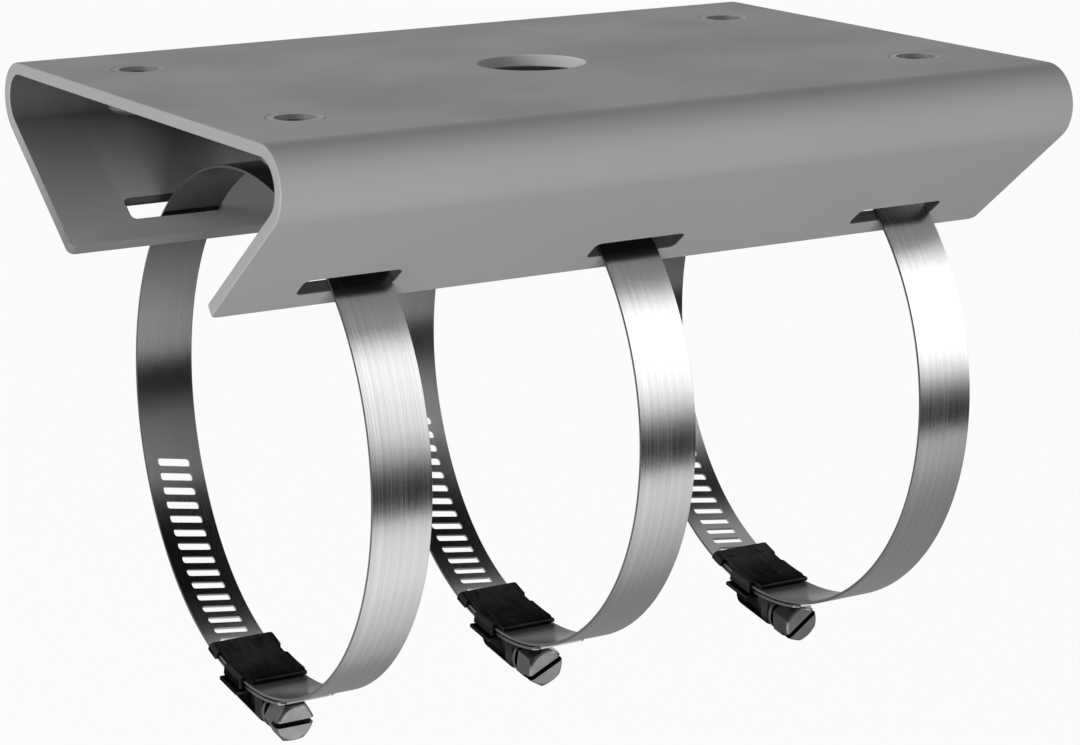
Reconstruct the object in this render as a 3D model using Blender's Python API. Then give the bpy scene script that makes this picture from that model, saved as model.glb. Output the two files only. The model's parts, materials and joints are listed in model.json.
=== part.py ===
"""Camera pole mount bracket: a folded steel channel tied to a pole by three worm-drive band clamps.

Frame, in metres: the origin is on the axis of the clamp loops, midway along the plate.
+X runs along the plate, +Y goes to the far flange, and +Z comes out of the plate's outer face.
Angles round a loop are counted from +Y, with 90 degrees at +Z.
"""
from math import ceil, cos, pi, radians, sin, sqrt

import bmesh
import bpy
from mathutils import Matrix, Vector

# Folded plate
PLATE_LENGTH = 0.176
PLATE_WIDTH = 0.128              # over the two bends
SHEET = 0.0025
BEND_INNER_RADIUS = 0.0055
BEND_ANGLE = radians(142.0)      # more than a right angle, so the flanges lean in to the pole
BEND_STEPS = 10
EDGE_BREAK = 0.00025
CORNER_RADIUS = 0.0015
FACE_TO_LOOP_AXIS = 0.0686       # outer face of the plate to the axis of the loops

# Band slots, three in each flange
SLOT_END_MARGIN = 0.0155         # sheet left between an outer slot and the end of the plate
SLOT_LENGTH = 0.0200
SLOT_HEIGHT = 0.0054
SLOT_CORNER = 0.0012
SLOT_WEB = 0.0056                # sheet left between a slot and the edge of the flange

# Camera fixings
BOLT_FROM_END = 0.0175
BOLT_FROM_BEND = 0.0210
CABLE_HOLE_DIAMETER = 0.022
NUT_THREAD_BORE = 0.0068
NUT_SHANK_DIAMETER = 0.0104
NUT_BODY_DIAMETER = 0.0127
NUT_BODY_HEIGHT = 0.0055
NUT_CHAMFER = 0.0006
NUT_SIDES = 16

# Clamp band
BAND_WIDTH = 0.0127
BAND_THICKNESS = 0.0006
LOOP_DIAMETER = 0.1055           # inside a loop that is centred on the pole's axis
LOOP_DIFFERENCES = (-0.0001, -0.0009, 0.0010)  # the clamps are drawn up by hand, one by one
CLAMP_SHIFTS = (0.0031, -0.0008, 0.0031)      # where each clamp lies within its slots
HOUSING_ANGLES = (279.0, 279.0, 280.0)        # middle of each worm, in degrees
SCREW_TURNS = (0.0, 28.0, 40.0)               # how far round each screw was left, in degrees
STEP_DEGREES = 4.5
TAIL_DEGREES = 22.0              # tail past the middle of the worm
RISE_STARTS = 62.0               # degrees ahead of the worm where the band starts to climb on itself
RISE_ENDS = 20.0
THREAD_PITCH = 0.00317
PERFORATED_DEGREES = 60.0        # punched stretch ahead of the worm
PERFORATION_LENGTH = 0.0070
PERFORATION_WIDTH = 0.0016
TAIL_END_MARGIN = 0.0030

# Worm drive
CLEARANCE = 0.0003               # between pieces that meet
SADDLE_SHEET = 0.0008
SADDLE_BACK = 0.0107             # saddle behind the middle of the worm
SADDLE_FRONT = 0.0075
SADDLE_EARS = 0.0036             # length of the two low ears beside the band at the back
SADDLE_WALL_BACK = 0.0030        # low walls beside the band, under the housing's feet
SADDLE_WALL_FRONT = 0.0043
SADDLE_BEND = 0.0008
SADDLE_STEP = 0.0019
HOUSING_SHEET = 0.0008
HOUSING_BACK = 0.0058
HOUSING_FRONT = 0.0079
HOUSING_NECK = 0.0012            # length of the narrow collar at each end
HOUSING_SHOULDER = 0.0009
FEET_WIDTH = 0.0165              # over both feet
FEET_BACK = 0.0032
FEET_FRONT = 0.0045
ARCH_SEGMENTS = 10
WORM_CREST_RADIUS = 0.0034
WORM_ROOT_RADIUS = 0.0026
JOURNAL_RADIUS = 0.0023
COLLAR_RADIUS = 0.0042
COLLAR_THICKNESS = 0.0009
HEAD_ACROSS_FLATS = 0.0079
HEAD_LENGTH = 0.0057
HEAD_NECK = 0.0006
HEAD_CHAMFER = 0.0006
DRIVER_SLOT_WIDTH = 0.0012
DRIVER_SLOT_DEPTH = 0.0020
SCREW_SIDES = 18

# Values that follow from the sizes above
NEUTRAL_RADIUS = BEND_INNER_RADIUS + SHEET / 2
BEND_RUN = NEUTRAL_RADIUS * BEND_ANGLE
FLAT_HALF = PLATE_WIDTH / 2 - BEND_INNER_RADIUS - SHEET
SHEET_MID_Z = FACE_TO_LOOP_AXIS - SHEET / 2
SLOT_PITCH = PLATE_LENGTH / 2 - SLOT_END_MARGIN - SLOT_LENGTH / 2
LAYER_STEP = BAND_THICKNESS + CLEARANCE
BANDS_HEIGHT = LAYER_STEP + BAND_THICKNESS      # both layers, from the inside of the loop


def clear_scene():
    """Start from an empty scene."""
    for old in list(bpy.data.objects):
        bpy.data.objects.remove(old, do_unlink=True)


def metal(name, colour, roughness, metallic):
    """A plain finish for one kind of piece."""
    finish = bpy.data.materials.new(name)
    finish.use_nodes = True
    shader = finish.node_tree.nodes["Principled BSDF"]
    shader.inputs["Base Color"].default_value = (*colour, 1.0)
    shader.inputs["Roughness"].default_value = roughness
    shader.inputs["Metallic"].default_value = metallic
    return finish


def add_object(name, data, finish=None, parent=None):
    """Link an object, give it its finish and hang it on its parent."""
    thing = bpy.data.objects.new(name, data)
    bpy.context.scene.collection.objects.link(thing)
    if finish is not None:
        data.materials.append(finish)
    thing.parent = parent
    return thing


def finish_mesh(name, bm, crease_degrees=35.0):
    """Close a bmesh into a mesh with its faces out and its round sides smooth."""
    bmesh.ops.recalc_face_normals(bm, faces=bm.faces)
    mesh = bpy.data.meshes.new(name)
    bm.to_mesh(mesh)
    bm.free()
    mesh.shade_smooth()
    mesh.set_sharp_from_angle(angle=radians(crease_degrees))
    return mesh


def rounded_rectangle(centre, half_length, half_height, radius, corner_steps):
    """Outline points of a rectangle with round corners."""
    points = []
    for corner, (side_x, side_y) in enumerate(((1, 1), (-1, 1), (-1, -1), (1, -1))):
        for step in range(corner_steps + 1):
            angle = (corner + step / corner_steps) * pi / 2
            x = centre[0] + side_x * (half_length - radius) + radius * cos(angle)
            y = centre[1] + side_y * (half_height - radius) + radius * sin(angle)
            points.append((x, y))
    return points


def circle(centre, radius, sides):
    """Outline points of a round hole."""
    turns = [2 * pi * side / sides for side in range(sides)]
    return [(centre[0] + radius * cos(turn), centre[1] + radius * sin(turn)) for turn in turns]


def punched_blank(name, outlines, thickness, edge_break=0.0):
    """A flat sheet cut to an outline, with holes: a filled flat curve with a thickness."""
    curve = bpy.data.curves.new(name, "CURVE")
    curve.dimensions = "2D"
    curve.fill_mode = "BOTH"
    curve.extrude = thickness / 2 - edge_break
    curve.bevel_depth = edge_break
    curve.bevel_resolution = 0
    curve.offset = -edge_break
    for outline in outlines:
        spline = curve.splines.new("POLY")
        spline.points.add(len(outline) - 1)
        for point, (x, y) in zip(spline.points, outline):
            point.co = (x, y, 0.0, 1.0)
        spline.use_cyclic_u = True
    flat = add_object(name, curve)
    graph = bpy.context.evaluated_depsgraph_get()
    mesh = bpy.data.meshes.new_from_object(flat.evaluated_get(graph))
    bpy.data.objects.remove(flat, do_unlink=True)
    bm = bmesh.new()
    bm.from_mesh(mesh)
    bmesh.ops.remove_doubles(bm, verts=bm.verts, dist=0.000001)
    return bm


def score(bm, axis, places):
    """Cut the sheet's faces along straight lines, so that it can turn there."""
    normal = Vector((1, 0, 0)) if axis == 0 else Vector((0, 1, 0))
    for place in places:
        everything = bm.verts[:] + bm.edges[:] + bm.faces[:]
        bmesh.ops.bisect_plane(
            bm, geom=everything, dist=0.000001, plane_co=normal * place, plane_no=normal)


def fold(x, run, lift):
    """Where a point of the flat blank goes once both long edges are folded."""
    side = 1.0 if run >= 0 else -1.0
    past_flat = max(abs(run) - FLAT_HALF, 0.0)
    in_bend = min(past_flat, BEND_RUN)
    angle = in_bend / NEUTRAL_RADIUS
    past_bend = past_flat - in_bend
    y = min(abs(run), FLAT_HALF) + (NEUTRAL_RADIUS + lift) * sin(angle) + past_bend * cos(angle)
    z = (NEUTRAL_RADIUS + lift) * cos(angle) - NEUTRAL_RADIUS - past_bend * sin(angle)
    return Vector((x, side * y, SHEET_MID_Z + z))


def flange_crossing(radius, lift):
    """How far down the flange a circle round the pole goes through one layer of the sheet."""
    start = fold(0.0, FLAT_HALF + BEND_RUN, lift)
    way = (fold(0.0, FLAT_HALF + BEND_RUN + SHEET, lift) - start).normalized()
    towards = start.dot(way)
    return -towards - sqrt(towards ** 2 - start.length_squared + radius ** 2)


def slot_edge_run():
    """Where the slot's lower edge is on the blank: the band rests on it."""
    inside = LOOP_DIAMETER / 2 - CLEARANCE
    seat = max(flange_crossing(inside, lift) for lift in (-SHEET / 2, SHEET / 2))
    return FLAT_HALF + BEND_RUN + seat


def loop_height(loop_radius):
    """How far over the pole's axis a loop's own centre is, when it hangs on the slots' edges."""
    inside = loop_radius - CLEARANCE
    edges = [fold(0.0, slot_edge_run(), lift) for lift in (-SHEET / 2, SHEET / 2)]
    return max(edge.z - sqrt(inside ** 2 - edge.y ** 2) for edge in edges)


def clamp_places():
    """X of each clamp, in its slot."""
    return [(number - 1) * SLOT_PITCH + shift for number, shift in enumerate(CLAMP_SHIFTS)]


def bolt_places():
    """X and Y of the four camera fixings."""
    along = PLATE_LENGTH / 2 - BOLT_FROM_END
    across = FLAT_HALF - BOLT_FROM_BEND
    return [(x * along, y * across) for x in (-1, 1) for y in (-1, 1)]


def bracket_plate(finish):
    """One sheet: cut and punched flat, then folded along its two long edges."""
    slot_run = slot_edge_run() - SLOT_HEIGHT / 2
    half_blank = slot_edge_run() + SLOT_WEB
    outlines = [rounded_rectangle((0, 0), PLATE_LENGTH / 2, half_blank, CORNER_RADIUS, 4)]
    outlines.append(circle((0, 0), CABLE_HOLE_DIAMETER / 2, 40))
    for place in bolt_places():
        outlines.append(circle(place, NUT_SHANK_DIAMETER / 2 + CLEARANCE, 24))
    for number in range(len(CLAMP_SHIFTS)):
        for side in (-1, 1):
            centre = ((number - 1) * SLOT_PITCH, side * slot_run)
            outlines.append(
                rounded_rectangle(centre, SLOT_LENGTH / 2, SLOT_HEIGHT / 2, SLOT_CORNER, 3))
    bm = punched_blank("bracket_blank", outlines, SHEET, EDGE_BREAK)
    bends = [FLAT_HALF + BEND_RUN * step / BEND_STEPS for step in range(BEND_STEPS + 1)]
    score(bm, 1, bends + [-bend for bend in bends])
    for vertex in bm.verts:
        vertex.co = fold(*vertex.co)
    return add_object("bracket_plate", finish_mesh("bracket_plate", bm), finish)


def turned(name, profile, sides):
    """A solid of revolution about Z from a closed profile of radius and height."""
    bm = bmesh.new()
    verts = [bm.verts.new((radius, 0.0, height)) for radius, height in profile]
    edges = [bm.edges.new((verts[i - 1], verts[i])) for i in range(len(verts))]
    bmesh.ops.spin(
        bm, geom=verts + edges, cent=(0, 0, 0), axis=(0, 0, 1), angle=2 * pi, steps=sides,
        use_merge=True)
    bmesh.ops.remove_doubles(bm, verts=bm.verts, dist=0.000001)
    return finish_mesh(name, bm)


def clinch_nuts(finish):
    """Four threaded inserts pressed in from under the plate, flush with its outer face."""
    shank = NUT_SHANK_DIAMETER / 2
    body = NUT_BODY_DIAMETER / 2
    bore = NUT_THREAD_BORE / 2
    top = FACE_TO_LOOP_AXIS - EDGE_BREAK
    seat = FACE_TO_LOOP_AXIS - SHEET - CLEARANCE
    foot = seat - NUT_BODY_HEIGHT
    profile = [
        (bore + NUT_CHAMFER, top), (shank, top), (shank, seat), (body, seat),
        (body, foot + NUT_CHAMFER), (body - NUT_CHAMFER, foot), (bore + NUT_CHAMFER, foot),
        (bore, foot + NUT_CHAMFER), (bore, top - NUT_CHAMFER)]
    mesh = turned("clinch_nut", profile, NUT_SIDES)
    mesh.materials.append(finish)
    for number, (x, y) in enumerate(bolt_places(), start=1):
        nut = add_object(f"clinch_nut_{number}", mesh)
        nut.location = (x, y, 0.0)


def climb(degrees_before_worm):
    """How far the band has risen on to its own first layer, from 0 to 1."""
    share = (RISE_STARTS - degrees_before_worm) / (RISE_STARTS - RISE_ENDS)
    share = min(max(share, 0.0), 1.0)
    return share * share * (3 - 2 * share)


def clamp_band(name, loop_radius, worm_angle, finish, parent):
    """A flat strip, punched for the worm and rolled into a loop that overlaps itself.

    The strip is laid out by angle. It starts under the back of the saddle, goes round by the near
    side, comes back on the far side, climbs on to its own start and ends in a short tail.
    """
    back = SADDLE_BACK / loop_radius
    start = worm_angle + back
    whole = 2 * pi + back + radians(TAIL_DEGREES)
    per_radian = loop_radius + BAND_THICKNESS / 2
    across = BAND_WIDTH / 2
    length = whole * per_radian
    outlines = [rounded_rectangle((length / 2, 0), length / 2, across, 0.0015, 2)]
    slant = THREAD_PITCH / (pi * (WORM_CREST_RADIUS + WORM_ROOT_RADIUS)) * PERFORATION_LENGTH / 2
    half_gap = PERFORATION_WIDTH / 2
    half_reach = PERFORATION_LENGTH / 2
    worm_place = (2 * pi + back) * per_radian
    pitch_angle = THREAD_PITCH / (per_radian + LAYER_STEP)
    pitch = pitch_angle * per_radian
    first = -ceil(radians(PERFORATED_DEGREES) / pitch_angle)
    last = int((radians(TAIL_DEGREES) * per_radian - TAIL_END_MARGIN) / pitch)
    for number in range(first, last + 1):
        middle = worm_place + number * pitch
        outlines.append([
            (middle - half_gap - slant, -half_reach), (middle + half_gap - slant, -half_reach),
            (middle + half_gap + slant, half_reach), (middle - half_gap + slant, half_reach)])
    bm = punched_blank(name + "_strip", outlines, BAND_THICKNESS)
    step = radians(STEP_DEGREES)
    score(bm, 0, [number * step * per_radian for number in range(1, ceil(whole / step))])
    for vertex in bm.verts:
        along = vertex.co.x / per_radian
        before_worm = (2 * pi + back - along) * 180 / pi
        radius = per_radian + LAYER_STEP * climb(before_worm) + vertex.co.z
        angle = start - along
        vertex.co = (vertex.co.y, radius * cos(angle), radius * sin(angle))
    return add_object(name, finish_mesh(name, bm), finish, parent)


def swept_sheet(name, sections, gaps, thickness, finish, parent):
    """Thin sheet through a row of cross-sections; gaps name the faces that are left out."""
    bm = bmesh.new()
    rows = [[bm.verts.new(point) for point in section] for section in sections]
    for row in range(len(rows) - 1):
        for column in range(len(rows[row]) - 1):
            if (row, column) in gaps:
                continue
            corners = (rows[row][column], rows[row][column + 1],
                       rows[row + 1][column + 1], rows[row + 1][column])
            bm.faces.new(corners)
    loose = [vertex for vertex in bm.verts if not vertex.link_faces]
    bmesh.ops.delete(bm, geom=loose, context="VERTS")
    mesh = finish_mesh(name, bm, 50.0)
    piece = add_object(name, mesh, finish, parent)
    shell = piece.modifiers.new("sheet", "SOLIDIFY")
    shell.thickness = thickness
    shell.offset = 0.0
    shell.use_even_offset = True
    return piece


def stations(places, step):
    """Places along a piece, with more between them so that none is further apart than the step."""
    row = [places[0]]
    for low, high in zip(places, places[1:]):
        count = ceil((high - low) / step)
        row += [low + (high - low) * number / count for number in range(1, count + 1)]
    return row


def clamp_saddle(name, loop_radius, worm_angle, finish, parent):
    """A channel inside the loop: two low ears at the back, higher walls under the housing's feet."""
    side = BAND_WIDTH / 2 + CLEARANCE + SADDLE_SHEET / 2
    base = loop_radius - CLEARANCE - SADDLE_SHEET / 2
    cut = SADDLE_BEND * (1 - cos(pi / 4))
    half = [
        (side, loop_radius + BANDS_HEIGHT), (side, loop_radius + BAND_THICKNESS),
        (side, base + SADDLE_BEND), (side - cut, base + cut), (side - SADDLE_BEND, base)]
    outline = half + [(-x, radius) for x, radius in reversed(half)]
    ear_end = SADDLE_EARS - SADDLE_BACK
    places = [-SADDLE_BACK, ear_end, -SADDLE_WALL_BACK, SADDLE_WALL_FRONT, SADDLE_FRONT]
    row = stations(places, SADDLE_STEP)
    sections = []
    for along in row:
        angle = worm_angle - along / loop_radius
        sections.append([(x, radius * cos(angle), radius * sin(angle)) for x, radius in outline])
    upper_wall = range(1)
    whole_wall = range(4)
    gaps = set()
    for number, (low, high) in enumerate(zip(row, row[1:])):
        middle = (low + high) / 2
        if middle < ear_end:
            missing = upper_wall
        elif -SADDLE_WALL_BACK < middle < SADDLE_WALL_FRONT:
            missing = ()
        else:
            missing = whole_wall
        for face in missing:
            gaps.add((number, face))
            gaps.add((number, len(outline) - 2 - face))
    return swept_sheet(name, sections, gaps, SADDLE_SHEET, finish, parent)


def housing_section(along, arch_radius):
    """Feet and arch of the worm's cover, across the clamp, at one place along the worm."""
    foot = HOUSING_SHEET / 2 - WORM_CREST_RADIUS
    points = [(-FEET_WIDTH / 2, foot), (-arch_radius, foot)]
    for step in range(ARCH_SEGMENTS + 1):
        turn = pi - pi * step / ARCH_SEGMENTS
        points.append((arch_radius * cos(turn), arch_radius * sin(turn)))
    points += [(arch_radius, foot), (FEET_WIDTH / 2, foot)]
    return [(x, height, along) for x, height in points]


def clamp_housing(name, finish, parent):
    """The worm's cover: an arch with a narrow collar at each end, on two flat feet."""
    wide = WORM_CREST_RADIUS + CLEARANCE + HOUSING_SHEET / 2
    narrow = JOURNAL_RADIUS + CLEARANCE + HOUSING_SHEET / 2
    back_neck = HOUSING_NECK - HOUSING_BACK
    front_neck = HOUSING_FRONT - HOUSING_NECK
    rings = [
        (-HOUSING_BACK, narrow), (back_neck, narrow), (back_neck + HOUSING_SHOULDER, wide),
        (-FEET_BACK, wide), (FEET_FRONT, wide), (front_neck - HOUSING_SHOULDER, wide),
        (front_neck, narrow), (HOUSING_FRONT, narrow)]
    sections = [housing_section(along, arch) for along, arch in rings]
    last_face = len(sections[0]) - 2
    gaps = set()
    for number, (along, arch) in enumerate(rings):
        if not -FEET_BACK <= along < FEET_FRONT:
            gaps.update({(number, 0), (number, last_face)})
    return swept_sheet(name, sections, gaps, HOUSING_SHEET, finish, parent)


def thread_radius(turn, along):
    """Radius of the worm's trapezoid thread at one place."""
    phase = 2 * pi * along / THREAD_PITCH - turn
    ridge = min(max(0.5 + 0.9 * cos(phase), 0.0), 1.0)
    return WORM_ROOT_RADIUS + (WORM_CREST_RADIUS - WORM_ROOT_RADIUS) * ridge


def hex_radius(turn):
    """Radius of a hexagon at one angle."""
    within = (turn % (pi / 3)) - pi / 6
    return HEAD_ACROSS_FLATS / 2 / cos(within)


def screw_rings():
    """Places along the screw with the shape there: a radius, the thread or the hexagon."""
    thread_back = -HOUSING_BACK + HOUSING_NECK + HOUSING_SHOULDER + HOUSING_SHEET / 2
    thread_front = HOUSING_FRONT - HOUSING_NECK - HOUSING_SHOULDER - HOUSING_SHEET / 2
    collar = HOUSING_FRONT + CLEARANCE
    head = collar + COLLAR_THICKNESS + HEAD_NECK
    tip = head + HEAD_LENGTH
    rings = [(-HOUSING_BACK, JOURNAL_RADIUS), (thread_back, JOURNAL_RADIUS)]
    count = ceil((thread_front - thread_back) / (THREAD_PITCH / 6))
    for step in range(count + 1):
        rings.append((thread_back + (thread_front - thread_back) * step / count, "thread"))
    rings += [
        (thread_front, JOURNAL_RADIUS), (collar, JOURNAL_RADIUS), (collar, COLLAR_RADIUS),
        (collar + COLLAR_THICKNESS, COLLAR_RADIUS), (collar + COLLAR_THICKNESS, JOURNAL_RADIUS),
        (head, JOURNAL_RADIUS), (head, "hexagon"), (tip - HEAD_CHAMFER, "hexagon"),
        (tip, HEAD_ACROSS_FLATS / 2 - HEAD_CHAMFER / 2)]
    return rings, tip


def driver_slot_cutter(tip, parent):
    """A thin block that cuts the screwdriver slot; it isn't part of the bracket."""
    bm = bmesh.new()
    bmesh.ops.create_cube(bm, size=1.0)
    wide = 4 * COLLAR_RADIUS
    bmesh.ops.scale(bm, vec=(wide, DRIVER_SLOT_WIDTH, 2 * DRIVER_SLOT_DEPTH), verts=bm.verts)
    bmesh.ops.translate(bm, vec=(0, 0, tip), verts=bm.verts)
    cutter = add_object("driver_slot_cutter", finish_mesh("driver_slot_cutter", bm), None, parent)
    cutter.hide_render = True
    cutter.display_type = "WIRE"
    return cutter


def worm_screw(name, turned_degrees, finish, parent):
    """Worm, collar and slotted hexagon head, as one turned and threaded piece."""
    rings, tip = screw_rings()
    bm = bmesh.new()
    rows = []
    for along, shape in rings:
        row = []
        for side in range(SCREW_SIDES):
            turn = 2 * pi * side / SCREW_SIDES
            radius = shape
            if shape == "thread":
                radius = thread_radius(turn, along)
            if shape == "hexagon":
                radius = hex_radius(turn)
            row.append(bm.verts.new((radius * cos(turn), radius * sin(turn), along)))
        rows.append(row)
    for low, high in zip(rows, rows[1:]):
        for side in range(SCREW_SIDES):
            after = (side + 1) % SCREW_SIDES
            bm.faces.new((low[side], low[after], high[after], high[side]))
    bm.faces.new(reversed(rows[0]))
    bm.faces.new(rows[-1])
    screw = add_object(name, finish_mesh(name, bm, 40.0), finish, parent)
    screw.rotation_euler.z = radians(turned_degrees)
    slot = screw.modifiers.new("driver_slot", "BOOLEAN")
    slot.operation = "DIFFERENCE"
    slot.object = driver_slot_cutter(tip, screw)
    return screw


def worm_frame(loop_radius, worm_angle):
    """Turn and place of the worm: its own Z along the screw, its Y away from the loop."""
    axis_radius = loop_radius + BANDS_HEIGHT + CLEARANCE + WORM_CREST_RADIUS
    outward = Vector((0, cos(worm_angle), sin(worm_angle)))
    along = Vector((0, sin(worm_angle), -cos(worm_angle)))
    columns = Matrix((outward.cross(along), outward, along)).transposed()
    return Matrix.Translation(outward * axis_radius) @ columns.to_4x4()


def band_clamp(index, band_finish, drive_finish, screw_finish):
    """One complete clamp on an empty at the middle of its loop."""
    x = clamp_places()[index]
    loop_radius = (LOOP_DIAMETER + LOOP_DIFFERENCES[index]) / 2
    worm_angle = radians(HOUSING_ANGLES[index])
    name = f"clamp_{index + 1}"
    axis = add_object(name + "_axis", None)
    axis.location = (x, 0.0, loop_height(loop_radius))
    worm_axis = add_object(name + "_worm_axis", None, None, axis)
    worm_axis.matrix_local = worm_frame(loop_radius, worm_angle)
    clamp_band(name + "_band", loop_radius, worm_angle, band_finish, axis)
    clamp_saddle(name + "_saddle", loop_radius, worm_angle, drive_finish, axis)
    clamp_housing(name + "_housing", drive_finish, worm_axis)
    worm_screw(name + "_screw", SCREW_TURNS[index], screw_finish, worm_axis)


def build():
    """Model the whole bracket."""
    clear_scene()
    paint = metal("satin_grey_paint", (0.30, 0.31, 0.32), 0.42, 0.0)
    zinc = metal("zinc_plate", (0.48, 0.48, 0.47), 0.38, 1.0)
    band_steel = metal("stainless_band", (0.62, 0.62, 0.61), 0.24, 1.0)
    drive_steel = metal("pressed_stainless", (0.40, 0.40, 0.40), 0.34, 1.0)
    screw_steel = metal("screw_steel", (0.50, 0.50, 0.50), 0.30, 1.0)
    bracket_plate(paint)
    clinch_nuts(zinc)
    for index in range(len(CLAMP_SHIFTS)):
        band_clamp(index, band_steel, drive_steel, screw_steel)


build()
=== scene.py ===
# %% [markdown]
# # Camera pole mount bracket: the looks
# A folded steel channel is tied to a pole by three worm-drive band clamps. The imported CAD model
# is the frame: it says where every piece is and how it moves. This script dresses that frame
# with finer pieces, finishes, a studio and a camera. Each step first says what the real thing
# is, then how it is made here and why.

# %% Load the frame
import json
from functools import partialmethod
from math import atan2, ceil, cos, degrees, hypot, pi, radians, sin, sqrt
from types import SimpleNamespace

import bmesh
import bpy
from mathutils import Matrix, Vector


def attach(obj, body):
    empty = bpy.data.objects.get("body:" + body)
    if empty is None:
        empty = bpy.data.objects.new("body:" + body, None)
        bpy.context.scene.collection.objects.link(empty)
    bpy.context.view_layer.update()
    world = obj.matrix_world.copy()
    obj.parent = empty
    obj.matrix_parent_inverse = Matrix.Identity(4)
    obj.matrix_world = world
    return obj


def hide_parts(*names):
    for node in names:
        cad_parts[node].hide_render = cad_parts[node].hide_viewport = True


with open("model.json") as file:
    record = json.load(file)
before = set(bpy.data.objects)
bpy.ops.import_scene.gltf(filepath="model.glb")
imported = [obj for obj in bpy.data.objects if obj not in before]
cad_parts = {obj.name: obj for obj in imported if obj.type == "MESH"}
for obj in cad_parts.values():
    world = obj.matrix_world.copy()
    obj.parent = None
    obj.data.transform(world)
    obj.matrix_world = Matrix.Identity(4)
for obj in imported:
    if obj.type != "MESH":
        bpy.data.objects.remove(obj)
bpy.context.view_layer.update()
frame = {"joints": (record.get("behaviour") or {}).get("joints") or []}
JOINTS = {joint["name"]: joint for joint in frame["joints"]}

# %% [markdown]
# ## The camera
# A long lens from the front left, a little above the bracket. Lens and place were found by
# fitting the bracket's straight edges and round loops to the picture. Pan, tilt and roll are
# put together as three plain rotations.

# %% Camera
CAMERA_PLACE = (-0.326029, -0.552788, 0.163538)
CAMERA_PAN = -30.6672
CAMERA_TILT = -13.9611
CAMERA_ROLL = -0.3269
LENS_MM = 106.506

scene = bpy.context.scene


def link_object(name, data):
    """Put new data in the scene under a name."""
    thing = bpy.data.objects.new(name, data)
    scene.collection.objects.link(thing)
    return thing


def set_up(thing, **settings):
    """Give a thing several settings at once."""
    for key, value in settings.items():
        setattr(thing, key, value)
    return thing


lens = bpy.data.cameras.new("studio_camera")
camera = link_object(
    "studio_camera", set_up(lens, lens=LENS_MM, sensor_width=36.0, clip_start=0.01))
camera.matrix_world = (
    Matrix.Translation(CAMERA_PLACE)
    @ Matrix.Rotation(radians(CAMERA_PAN), 4, "Z")
    @ Matrix.Rotation(radians(90.0 + CAMERA_TILT), 4, "X")
    @ Matrix.Rotation(radians(CAMERA_ROLL), 4, "Z"))
scene.camera = camera
print("camera", LENS_MM, "mm")

# %% [markdown]
# ## Reckoning in node trees
# Every finish and every growing rule below is a node tree. A number in a tree is held as a Term,
# so that arithmetic can be written with ordinary signs: each sign adds one Math node. A formula
# is easier to read and to correct than a tree wired node by node.

# %% Terms


class Term:
    """An output in a node tree; reckoning with it adds Math nodes to that tree."""

    def __init__(self, socket):
        self.socket = socket
        self.tree = socket.id_data

    def step(self, operation, *values):
        """One step of arithmetic that starts from this number."""
        return calc(self.tree, operation, self, *values)

    def __rsub__(self, value):
        return calc(self.tree, "SUBTRACT", value, self)

    __add__ = __radd__ = partialmethod(step, "ADD")
    __mul__ = __rmul__ = partialmethod(step, "MULTIPLY")
    __sub__ = partialmethod(step, "SUBTRACT")
    __truediv__ = partialmethod(step, "DIVIDE")
    __lt__ = partialmethod(step, "LESS_THAN")
    __gt__ = partialmethod(step, "GREATER_THAN")
    __abs__ = partialmethod(step, "ABSOLUTE")
    larger = partialmethod(step, "MAXIMUM")
    smaller = partialmethod(step, "MINIMUM")


def feed(socket, value):
    """Put a plain value in a socket, or link it when it comes from another node."""
    if isinstance(value, Term):
        value = value.socket
    if isinstance(value, bpy.types.NodeSocket):
        socket.id_data.links.new(value, socket)
    else:
        socket.default_value = value


def add_node(tree, kind, inputs=None, **settings):
    """A node with its settings, and its inputs by name or number."""
    node = set_up(tree.nodes.new(kind), **settings)
    for key, value in (inputs or {}).items():
        feed(node.inputs[key], value)
    return node


def term(tree, kind, inputs=None, output=0, **settings):
    """One output of a new node, as a term."""
    return Term(add_node(tree, kind, inputs, **settings).outputs[output])


def calc(tree, operation, *values):
    """One step of arithmetic in a tree."""
    return term(tree, "ShaderNodeMath", dict(enumerate(values)), operation=operation)


print("terms ready")

# %% Tree helpers


def terms(sockets):
    """The outputs of a node by name."""
    return {socket.name: Term(socket) for socket in sockets}


def split(tree, vector):
    """The three numbers of a vector."""
    return [Term(part) for part in add_node(tree, "ShaderNodeSeparateXYZ", {0: vector}).outputs]


def join(tree, x, y=0.0, z=0.0):
    """A vector of three numbers."""
    return term(tree, "ShaderNodeCombineXYZ", {0: x, 1: y, 2: z})


def remap(value, low, high, to_low=0.0, to_high=1.0, shape="LINEAR"):
    """Stretch one range of a value to another, and cut it off there."""
    return term(value.tree, "ShaderNodeMapRange", {
        "Value": value, "From Min": low, "From Max": high,
        "To Min": to_low, "To Max": to_high}, interpolation_type=shape)


def between(share, first, second):
    """Blend two numbers."""
    return term(share.tree, "ShaderNodeMix", {0: share, 2: first, 3: second})


def mix_shaders(share, first, second):
    """Blend two shaders by a number."""
    return term(share.tree, "ShaderNodeMixShader", {0: share, 1: first, 2: second})


def ray_kinds(tree):
    """Two masks: what the camera sees, straight or through glass, and what mirrors see."""
    rays = terms(add_node(tree, "ShaderNodeLightPath").outputs)
    return rays["Is Camera Ray"].larger(rays["Is Transmission Ray"]), rays["Is Glossy Ray"]


def new_finish(name):
    """An empty finish with its tree and its Principled shader."""
    finish = bpy.data.materials.new(name)
    finish.use_nodes = True
    return finish, finish.node_tree, finish.node_tree.nodes["Principled BSDF"]


def object_place(tree):
    """Where a point is on its own object."""
    return term(tree, "ShaderNodeTexCoord", output="Object")


def discard(*things):
    """Take helper objects out of the file."""
    for thing in things:
        bpy.data.objects.remove(thing, do_unlink=True)


print("tree helpers ready")

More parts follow.
